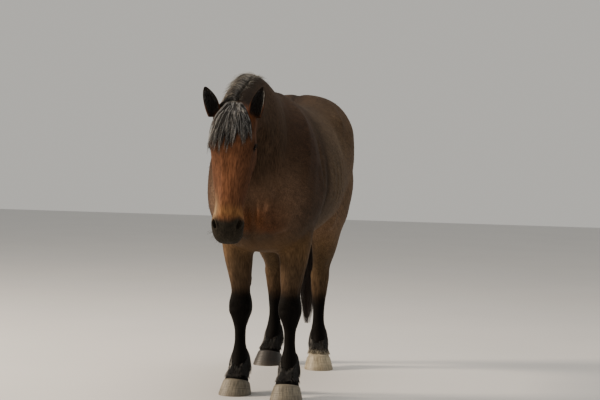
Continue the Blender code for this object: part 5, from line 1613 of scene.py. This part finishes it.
def long_hair():
    """Mane and tail hair: coarse keratin, smoother than the coat, with gloss along each strand."""
    made, tree, surface = shader("long_horse_hair", 0.42)
    colour = node(tree, "ShaderNodeAttribute", {"attribute_name": "coat"})
    place = node(tree, "ShaderNodeUVMap", {"uv_map": "strand"}).outputs["UV"]
    drawn = node(tree, "ShaderNodeMapping", inputs={"Vector": place, "Scale": (3.0, 5.0, 1.0)})
    fibres = {"Vector": drawn.outputs[0], "Scale": 3.0, "Detail": 2.0}
    fibres = node(tree, "ShaderNodeTexNoise", inputs=fibres).outputs[0]
    tone = node(tree, "ShaderNodeMapRange", inputs={0: fibres, 1: 0.3, 2: 0.7, 3: 0.7, 4: 1.3})
    toned = {0: colour.outputs["Color"], "Scale": tone.outputs[0]}
    toned = node(tree, "ShaderNodeVectorMath", BY_FACTOR, toned)
    tree.links.new(toned.outputs[0], surface.inputs["Base Color"])
    bump = node(tree, "ShaderNodeBump", inputs={"Height": fibres, "Strength": 0.4, "Distance": 0.0004})
    tree.links.new(bump.outputs[0], surface.inputs["Normal"])
    return made


HAIR = long_hair()


def hair_colours(count, steps, rng, dark, light, pale, pale_share, tip=None, tip_share=0.0):
    """Each strand between dark and light, a share of them pale, and all turning to the tip colour."""
    mix = rng.random((count, 1)) ** 1.6
    base = linear(dark) + (linear(light) - linear(dark)) * mix
    white = rng.random(count) < pale_share
    base[white] = linear(pale) * rng.uniform(0.55, 1.1, (white.sum(), 1))
    colour = np.repeat(base[:, None, :], steps, axis=1)
    if tip:
        t = np.linspace(0, 1, steps)[None, :, None]
        colour = colour + (linear(tip) - colour) * tip_share * smoothstep(0.4, 1.0, t)
    return np.concatenate([colour, np.ones((count, steps, 1))], axis=2)


def joined(parts):
    """Paths and outward directions of many bundles as two arrays."""
    paths = np.concatenate([p for p, _ in parts])
    return paths, np.concatenate([o for _, o in parts])


# %% [markdown]
# ## Mane and forelock
# The mane falls to the horse's right, with greying hair along the top of the crest that stands
# up and tips over, mostly to the right too. The forelock springs from between the ears and fans out over
# the forehead, black with grey and white streaks.


# %% Mane
def crest_point(y, sink):
    """The top of the neck at y, sunk below the skin."""
    place, _, _, _ = skin_tree.ray_cast(Vector((float(neck_bend(y)), y, 2.5)), Vector((0, 0, -1)))
    return np.array(place) - (0, 0, sink)


# The mane's ends along the body, its locks, and the strands and steps of each lock.
MANE_FROM = -1.148
MANE_TO = -0.470
MANE_LOCKS = 46
LOCK_STRANDS = 66
MANE_STEPS = 10
rng = np.random.default_rng(3)
locks = []
for k in range(MANE_LOCKS):
    share = (k + 0.5) / MANE_LOCKS
    y = MANE_FROM + (MANE_TO - MANE_FROM) * share
    root = crest_point(y, 0.006) - (0.012 * rng.random(), 0, 0)
    drift = rng.uniform(-0.12, 0.16)
    length = rng.uniform(0.32, 0.43) * (0.75 + 0.25 * math.sin(math.pi * share))

    def pull(t, drift=drift):
        return (-max(0.0, 0.9 - 3.5 * t), drift, 0.5 - 4.0 * t if t < 0.2 else -1.0)

    path, outward = combed(skin_tree, root, pull, length, rng.uniform(0.005, 0.014), 8)
    wide = rng.uniform(0.040, 0.060)
    locks.append(bundle(path, outward, wide, 0.014, LOCK_STRANDS, MANE_STEPS, rng))
paths, outward = joined(locks)
width = tapered(paths, rng, 0.0013)
tones = "#0f0c0a", "#2e2822", "#7d7466"
grey = hair_colours(len(paths), MANE_STEPS, rng, *tones, 0.12, "#3a2e22", 0.35)
mane = strand_mesh("mane_locks", paths, outward, width, width * ROUND_STRAND, grey)
shown(mane, HAIR, "mane_hair", "mane")

# %% Crest hair, greying and short
count, steps = 3600, 6
share = rng.random(count)
y = MANE_FROM - 0.03 + (MANE_TO + 0.03 - MANE_FROM) * share
guides = np.array([crest_point(v, 0.003) for v in np.linspace(MANE_FROM - 0.03, MANE_TO, 40)])
root = np.stack([np.interp(y, guides[:, 1], guides[:, k]) for k in range(3)], axis=1)
lean = np.minimum(rng.normal(-1.2, 0.45, count), -0.3)
over = rng.random(count) < 0.10
lean[over] = rng.uniform(-0.2, 0.7, over.sum())
root[:, 0] += rng.uniform(-0.018, 0.006, count)
t = np.linspace(0, 1, steps)[None, :, None]
length = rng.uniform(0.050, 0.120, (count, 1, 1)) * (0.6 + 0.5 * np.sin(np.pi * share))[:, None, None]
length[over] *= 0.45
toward = unit(np.stack([lean, rng.normal(0.15, 0.22, count), np.full(count, 0.55)], axis=1))[:, None, :]
fall = np.stack([0.15 * np.sign(lean), np.zeros(count), np.full(count, -0.95)], axis=1)[:, None, :]
paths = root[:, None, :] + length * (toward * t + fall * t**2 * 0.60)
outward = unit(np.broadcast_to(toward + (0, 0, 0.6), paths.shape))
width = tapered(paths, rng, 0.0011)
dark = hair_colours(count, steps, rng, "#14110e", "#474136", "#9a9484", 0.16)
light = hair_colours(count, steps, rng, "#57524a", "#8b8578", "#b4afa3", 0.30)
greying = rng.random(count) < 0.06 + 0.55 * np.exp(-0.5 * ((y + 0.80) / 0.09) ** 2)
pale = np.where(greying[:, None, None], light, dark)
crest = strand_mesh("mane_crest", paths, outward, width, width * ROUND_STRAND, pale)
shown(crest, HAIR, "mane_hair")

# %% Forelock
FORELOCK_LOCKS = 30
FORELOCK_STEPS = 9
rng = np.random.default_rng(5)
locks = []
for k in range(FORELOCK_LOCKS):
    share = (k + 0.5) / FORELOCK_LOCKS * 2 - 1
    root = from_head((share * 0.034, -0.012, -0.020 + 0.016 * (k % 3)))
    down = np.array((share * 0.85, 0.10, 1.0)) * (1, 1, -1) @ HEAD_AXES.T
    along = np.array((share * 0.12 + rng.uniform(-0.14, 0.06), -0.02, 1.0)) * (1, 1, -1) @ HEAD_AXES.T

    def pull(t, down=down, along=along):
        mix = min(1.0, 1.5 * t)
        return down * (1 - mix) + along * mix

    length = rng.uniform(0.17, 0.25) * (1.05 - 0.20 * share)
    path, outward = combed(skin_tree, root, pull, length, 0.004 + 0.004 * (k % 3), 7)
    wide = rng.uniform(0.030, 0.046)
    locks.append(bundle(path, outward, wide, 0.008, LOCK_STRANDS, FORELOCK_STEPS, rng, 0.60, 0.004))
paths, outward = joined(locks)
width = tapered(paths, rng, 0.0008)
tones = "#0b0a0a", "#24211e", "#bdbcba"
streaked = hair_colours(len(paths), FORELOCK_STEPS, rng, *tones, 0.17, "#1c1613", 0.2)
forelock = strand_mesh("forelock_locks", paths, outward, width, width * ROUND_STRAND, streaked)
shown(forelock, HAIR, "mane_hair", "forelock")

# %% [markdown]
# ## Tail
# The dock is the tail's own bones and reaches a third of the way down. Hair grows all round it,
# hangs straight, and thins to a wisp. Its strands leave the dock at not quite half the tail's
# reach and end anywhere from there out to its edge, so that they fill it without a core.

# %% Tail
# Share of the way down, the middle's place, and the half width and half depth there.
TAIL = np.array((
    (0.00, 0.000, 0.830, 1.440, 0.030, 0.028),
    (0.06, 0.000, 0.895, 1.410, 0.040, 0.036),
    (0.15, 0.002, 0.940, 1.310, 0.068, 0.050),
    (0.35, 0.008, 0.955, 1.060, 0.092, 0.064),
    (0.60, 0.014, 0.950, 0.750, 0.088, 0.062),
    (0.85, 0.018, 0.945, 0.440, 0.056, 0.044),
    (1.00, 0.020, 0.940, 0.250, 0.014, 0.014),
))
TAIL_LOCKS = 36
GOLDEN_ANGLE = 2.399963
rng = np.random.default_rng(6)
count, steps = 2800, 12
start = 0.34 * rng.random(count) ** 0.8
stop = np.minimum(1, start + rng.uniform(0.40, 0.80, count))
stop[::4] = rng.uniform(0.85, 1.0, len(stop[::4]))
at = start[:, None] + (stop - start)[:, None] * np.linspace(0, 1, steps)[None, :]
rows = curve(TAIL[:, 0], TAIL[:, 1:], at.ravel()).reshape(count, steps, 5)
lock = rng.integers(0, TAIL_LOCKS, count)
bearing = lock * GOLDEN_ANGLE + rng.normal(0, 0.22, count)
radial = np.stack([np.cos(bearing), np.sin(bearing), 0 * bearing], axis=1)
share = np.linspace(0, 1, steps)[None, :]
reach = 0.45 + (rng.uniform(0.35, 1.0, (count, 1)) - 0.45) * share
sway = 0.010 * np.sin(share * 5 + lock[:, None]) * share
paths = rows[..., :3].copy()
paths[..., 0] += radial[:, None, 0] * rows[..., 3] * reach + sway
paths[..., 1] += radial[:, None, 1] * rows[..., 4] * reach
outward = np.broadcast_to(radial[:, None, :], paths.shape)
width = tapered(paths, rng, 0.0017)
black = hair_colours(count, steps, rng, "#090807", "#1a1410", "#4d3220", 0.04, "#38241a", 0.45)
tail = strand_mesh("tail_locks", paths, outward, width, width * ROUND_STRAND, black)
shown(tail, HAIR, "tail_hair", "tail")

# %% [markdown]
# ## Feather
# The long hair behind the fetlock and round the coronet of a draft horse is called feather. It
# hangs over the top of the hoof, shortest in front, where the horn stays bare.


# %% Feather
# Height of each row, its half reach round the leg in degrees from behind, length and lean.
FEATHER_ROWS = np.array((
    (0.250, 75, 0.105, 0.30),
    (0.220, 100, 0.120, 0.34),
    (0.190, 130, 0.105, 0.34),
    (0.160, 180, 0.080, 0.36),
    (0.132, 180, 0.060, 0.42),
    (0.108, 180, 0.042, 0.55),
))
FEATHER_TURNS = 24
FEATHER_STEPS = 6
FEATHER_STRANDS = 2400


def feather_guides(leg):
    """Combed paths all round the leg, from each row of the table down."""
    guides = np.zeros((len(FEATHER_ROWS), FEATHER_TURNS + 1, FEATHER_STEPS, 3))
    for i, (height, _, length, lean) in enumerate(FEATHER_ROWS):
        x, y = leg_centre(leg, height)
        for k in range(FEATHER_TURNS + 1):
            turn = 2 * math.pi * k / FEATHER_TURNS - math.pi
            direction = Vector((math.sin(turn), math.cos(turn), 0))
            heart = Vector((float(x), float(y), height))
            place, _, _, _ = skin_tree.ray_cast(heart + direction * 0.11, -direction, 0.11)
            place = place or heart + direction * 0.04
            behind = 0.5 + 0.5 * math.cos(turn)

            def pull(t, out=direction, lean=lean):
                return (out.x * lean * (1 - t), out.y * lean * (1 - t), -1)

            reach = length * (0.50 + 0.50 * behind)
            root = place - direction * 0.003
            guides[i, k], _ = combed(outer_tree, root, pull, reach, 0.003, FEATHER_STEPS - 1)
    return guides


def feather_paths(leg, count, rng):
    """Strands between the guides, each stopping short of its guide's end by its own share."""
    guides = feather_guides(leg)
    row = (len(FEATHER_ROWS) - 1.001) * rng.random(count) ** 0.8
    limit = np.interp(row, np.arange(len(FEATHER_ROWS)), FEATHER_ROWS[:, 1])
    turn = rng.uniform(-1, 1, count) * limit
    place = (turn + 180) / 360 * (FEATHER_TURNS - 0.001)
    i, k = row.astype(int), place.astype(int)
    f, g = (row - i)[:, None, None], (place - k)[:, None, None]
    paths = (guides[i, k] * (1 - g) + guides[i, k + 1] * g) * (1 - f)
    paths += (guides[i + 1, k] * (1 - g) + guides[i + 1, k + 1] * g) * f
    t = np.linspace(0, 1, FEATHER_STEPS)[None, :, None]
    bearing = np.radians(turn)
    out = np.stack([np.sin(bearing), np.cos(bearing), 0 * bearing], axis=1)[:, None]
    across = out[..., [1, 0, 2]] * (1, -1, 1)
    stop = rng.uniform(0.65, 1.1, (count, 1, 1))
    paths = paths[:, :1] + (paths - paths[:, :1]) * stop
    clump = np.sin(turn * 0.35 + row * 9)[:, None, None]
    paths += across * t**1.5 * (0.004 * clump + 0.004 * rng.normal(0, 1, (count, 1, 1)))
    paths += out * t * (0.003 + 0.004 * rng.random((count, 1, 1)))
    paths[..., 2] = np.maximum(paths[..., 2], 0.010)
    return paths, np.broadcast_to(out, paths.shape)


rng = np.random.default_rng(8)
for leg in LEGS:
    paths, outward = feather_paths(leg, FEATHER_STRANDS, rng)
    width = tapered(paths, rng, 0.0011)
    tint = hair_colours(len(paths), FEATHER_STEPS, rng, "#080706", "#13100e", "#2c2722", 0.04, "#1a1613", 0.3)
    if leg == "hind_leg_left":
        height = paths[:, :, 2:] + rng.uniform(-0.02, 0.02, (len(paths), 1, 1))
        white = 0.9 * smoothstep(0.118, 0.088, height)
        tint[:, :, :3] += (linear(WHITE_HAIR) - tint[:, :, :3]) * white
    feather = strand_mesh(f"{leg}_feather", paths, outward, width, width * ROUND_STRAND, tint)
    shown(feather, HAIR, "black_points")

# %% [markdown]
# ## Tufts of the short coat
# A summer coat lies flat, but it still softens every edge: the belly line, the chest, the backs
# of the legs, the jaw. Tufts of hairs stuck together stand off the skin by a few degrees there.
# They are strands of three steps, rooted just below the skin and laid along the lie of the coat,
# closest together where the coat breaks the outline and smallest on the face and feet.


# %% Tufts
corners = points[np.array([p.vertices[:] for p in skin.polygons])]
crossed = np.cross(corners[:, 1] - corners[:, 0], corners[:, 2] - corners[:, 0])
triangle_area = 0.5 * np.linalg.norm(crossed, axis=1)
triangle_normal = unit(crossed)
triangle_middle = corners.mean(axis=1)


def scattered(count, weight, rng):
    """Roots on the skin, by each triangle's area times its weight: places and normals."""
    chance = triangle_area * weight
    chosen = rng.choice(len(corners), count, p=chance / chance.sum())
    u, v = rng.random((2, count))
    over = u + v > 1
    u[over], v[over] = 1 - u[over], 1 - v[over]
    first, second, third = corners[chosen].transpose(1, 0, 2)
    place = first + (second - first) * u[:, None] + (third - first) * v[:, None]
    return place, triangle_normal[chosen]


def clear_of_features():
    """1 on plain skin, 0 at the eyes, nostrils, mouth, ears and under the feather."""
    clear = smoothstep(0.15, 0.20, triangle_middle[:, 2])
    for middle in EYES.values():
        clear *= np.linalg.norm(triangle_middle - middle, axis=1) > 0.026
    for side in (1, -1):
        clear *= np.linalg.norm(triangle_middle - nostril_middle(side), axis=1) > 0.032
        low, high = ear_point(np.array((0.2, 1.0)), np.zeros(2), side)
        _, off = along_line(triangle_middle, low, high)
        clear *= off > 0.045
    return clear


TUFT_STEPS = 3


def tufts(name, count, weight, length, half_width, stand, rng, slot):
    """Flat strands along the lie: root + way * L t + normal * (stand * L t - 1.5 mm)."""
    place, normal = scattered(count, weight, rng)
    way = unit(lie(place, normal) + rng.normal(0, 0.10, (count, 3)))
    t = np.linspace(0, 1, TUFT_STEPS)[None, :, None]
    reach = rng.uniform(*length, (count, 1, 1))
    lift = stand * rng.uniform(0.4, 1.4, (count, 1, 1)) * reach * t - 0.0015
    paths = place[:, None] + way[:, None] * reach * t + normal[:, None] * lift
    outward = np.broadcast_to(normal[:, None], paths.shape)
    width = tapered(paths, rng, half_width)
    colour = coat_colour(place)
    colour[:, :3] *= rng.uniform(0.80, 1.15, (count, 1))
    colours = np.repeat(colour[:, None], TUFT_STEPS, axis=1)
    piece = strand_mesh(name, paths, outward, width, width * FLAT_STRAND, colours)
    rooted = np.repeat(lie_shares(place), TUFT_STEPS * 3, axis=0)
    store(piece.data, "lay", "FLOAT_VECTOR", rooted)
    shown(piece, COAT, slot)
    side = np.cross(way, normal)
    rounded = normal[:, None] + np.array((0, 0.35, -0.35))[None, :, None] * side[:, None]
    rounded = np.tile(unit(rounded), (1, TUFT_STEPS, 1)).reshape(-1, 3)
    piece.data.normals_split_custom_set_from_vertices(rounded)


across, out, down = to_head(triangle_middle).T
on_head = beyond(triangle_middle, HEAD_CUT) > 0
on_neck = (beyond(triangle_middle, NECK_CUT) > 0) & ~on_head
on_legs = (triangle_middle[:, 2] < 0.88) & ~on_head
clear = clear_of_features()
edges = 1 + 2.0 * smoothstep(0.2, 0.7, -triangle_normal[:, 2])
edges += 1.5 * smoothstep(0.3, 0.8, np.abs(triangle_normal[:, 1]))
jaw = 1 + 3.0 * smoothstep(-0.12, -0.20, out)
rng = np.random.default_rng(21)
for name, count, weight, length, half_width, stand, slot in (
    ("coat_head", 9000, on_head * clear * jaw, (0.005, 0.009), 0.0008, 0.11, "bay_coat"),
    ("coat_neck", 6000, on_neck * clear * edges, (0.012, 0.020), 0.0013, 0.10, "bay_coat"),
    ("coat_trunk", 13000, ~(on_head | on_neck | on_legs) * edges, (0.014, 0.024), 0.0016, 0.10, "bay_coat"),
    ("coat_legs", 9000, on_legs * clear * edges, (0.009, 0.015), 0.0011, 0.11, "black_points"),
):
    tufts(name, count, weight, length, half_width, stand, rng, slot)

# %% [markdown]
# ## Lashes, whiskers and ear hair
# Upper lashes stand out over the eye like a small awning. Whiskers are single coarse feelers on
# the lips and chin. Soft black hair lines the ear's cup and fills its opening.


# %% Fine hair of the face
FINE_STEPS = 5


def curved(root, first, last, length):
    """Paths root + length * (first * t + (last - first) * t * t / 2)."""
    t = np.linspace(0, 1, FINE_STEPS)[None, :, None]
    first, last = unit(first)[:, None], unit(last)[:, None]
    return root[:, None] + length[:, None, None] * (first * t + (last - first) * t**2 / 2)


def lashes(name, rng):
    """Roots on the upper lid's edge, leaving outwards and curling up."""
    axes = eye_frame(name)
    count = 90
    share = rng.uniform(-0.92, 0.92, count)
    p = share * OPENING[0]
    q = OPENING[1] * (1 - share**2) ** 0.8 + 0.0006
    n = np.sqrt((EYE_RADIUS + LID) ** 2 - p**2 - q**2) - 0.0012
    root = np.column_stack([p, q, n]) @ axes + EYES[name]
    sideways = share * 0.7 + rng.normal(0, 0.10, count)
    fan = np.column_stack([sideways, rng.uniform(-0.3, 0.1, count), np.ones(count)])
    curl = fan + (0, 0.9, -0.2)
    return curved(root, fan @ axes, curl @ axes, rng.uniform(0.010, 0.018, count)), fan @ axes


def whiskers(rng):
    """Feelers on the chin and lips: roots taken from the skin there, leaving out and down."""
    near = np.exp(-0.5 * ((down - 0.652) / 0.028) ** 2) * smoothstep(-0.02, -0.08, out)
    place, normal = scattered(150, near * on_head, rng)
    first = unit(normal + rng.normal(0, 0.15, normal.shape))
    last = unit(first + (0, 0, -0.7))
    return curved(place - normal * 0.001, first, last, rng.uniform(0.018, 0.048, len(place))), first


def ear_hair(side, rng):
    """Rows up the cup, leaving its walls towards its opening and the tip."""
    count = 900
    up = rng.uniform(0.08, 0.80, count)
    around = rng.uniform(-0.95, 0.95, count)
    root = ear_point(up, around, side, 0.001)
    heart = ear_point(up, 0 * around, side, 0.02)
    higher = ear_point(up + 0.05, around, side, 0.001)
    towards = unit(heart - root) * 0.4 + unit(higher - root) * 0.8 + rng.normal(0, 0.15, (count, 3))
    length = rng.uniform(0.014, 0.032, count) * (1 - 0.5 * up)
    return curved(root, towards, towards + unit(higher - root), length), towards


rng = np.random.default_rng(22)
groups = [(*lashes(name, rng), 0.00030) for name in EYES]
groups.append((*whiskers(rng), 0.00028))
groups += [(*ear_hair(side, rng), 0.00055) for side in (1, -1)]
paths = np.concatenate([group[0] for group in groups])
outward = np.concatenate([np.broadcast_to(group[1][:, None], group[0].shape) for group in groups])
outward = unit(np.roll(outward, 1, axis=2) + 0.3)
thick = np.concatenate([np.full(len(group[0]), group[2]) for group in groups])
width = tapered(paths, rng, 1.0) * thick[:, None]
black = hair_colours(len(paths), FINE_STEPS, rng, "#060505", "#171310", "#3f372e", 0.05)
fine = strand_mesh("face_hair", paths, outward, width, width, black)
shown(fine, HAIR, "black_points")

# %% [markdown]
# ## Floor, light and camera
# A plain pale floor and world keep the horse's own colours readable. The key is a softbox 1.6 m
# wide, almost 9 m off to the viewer's left, as that side of the face is lit in the photograph. The
# camera stands 9.7 m in front of the body's middle and 1.64 m to the horse's left, at 1.43 m.


# %% Floor
def plaster():
    """Trowelled and painted plaster: even and pale, with a faint grain and hardly any gloss."""
    made, tree, surface = shader("smooth_plaster", 0.75)
    grain = node(tree, "ShaderNodeTexNoise", inputs={"Scale": 40.0, "Detail": 4.0})
    tone = node(tree, "ShaderNodeMapRange", inputs={0: grain.outputs[0], 3: 0.55, 4: 0.60})
    tree.links.new(tone.outputs[0], surface.inputs["Base Color"])
    return made


corners = np.array([(x, y, 0.0) for x, y in ((-20, -20), (20, -20), (20, 20), (-20, 20))])
floor = new_object("studio_floor", mesh_from_arrays("studio_floor", corners, np.array([[0, 1, 2, 3]])))
floor.data.materials.append(plaster())
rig.stage(floor)

# %% Light
world = bpy.data.worlds.new("pale_studio")
bpy.context.scene.world = world
world.use_nodes = True
world.node_tree.nodes["Background"].inputs["Color"].default_value = (*linear("#e9e6df"), 1)
world.node_tree.nodes["Background"].inputs["Strength"].default_value = 0.66


def softbox(name, place, size, power, colour):
    """A square area light that looks at the horse's chest."""
    light = bpy.data.lights.new(name, "AREA")
    light.size = size
    light.energy = power
    light.color = linear(colour)
    obj = bpy.data.objects.new(name, light)
    bpy.context.scene.collection.objects.link(obj)
    toward = Vector((0, -0.3, 1.0)) - Vector(place)
    obj.matrix_world = Matrix.Translation(place) @ toward.to_track_quat("-Z", "Y").to_matrix().to_4x4()


softbox("key", (-8.0, -1.5, 4.4), 1.6, 1450, "#ffead0")
softbox("top", (0.5, 1.5, 7.0), 4.0, 260, "#fff3e4")
softbox("fill", (-3.0, -9.0, 2.5), 3.0, 30, "#fff1e0")

# %% Camera
# The picture's width, the focal length and the horizon's height over the middle, all in pixels.
PICTURE_WIDTH = 600
FOCAL_LENGTH = 1700
HORIZON = 63
SENSOR = 36
CAMERA_PLACE = Vector((1.643, -9.70, 1.43))
CAMERA_YAW = math.radians(9)
CAMERA_ROLL = 0.024

camera = bpy.data.cameras.new("camera")
camera.sensor_width = SENSOR
camera.lens = SENSOR * FOCAL_LENGTH / PICTURE_WIDTH
camera.clip_end = 100
camera_object = bpy.data.objects.new("camera", camera)
bpy.context.scene.collection.objects.link(camera_object)
yaw = Matrix.Rotation(CAMERA_YAW, 4, "Z")
pitch = Matrix.Rotation(math.radians(90) - math.atan(HORIZON / FOCAL_LENGTH), 4, "X")
roll = Matrix.Rotation(CAMERA_ROLL, 4, "Z")
stand = Matrix.Translation(CAMERA_PLACE + Vector(SHIFT))
camera_object.matrix_world = stand @ yaw @ pitch @ roll
bpy.context.scene.camera = camera_object

# %% [markdown]
# ## Last look at the sizes
# The visual model must keep close to the solids' box, so both boxes are written down side by side
# and the visual one is printed.

# %% Sizes and the end
bpy.context.view_layer.update()
boxes = {"cad": cad_box, "visual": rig.bounds()}
with open("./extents.json", "w") as out:
    json.dump({key: [[float(c) for c in corner] for corner in box] for key, box in boxes.items()}, out)
print("visual box:", [tuple(round(c, 3) for c in corner) for corner in boxes["visual"]])
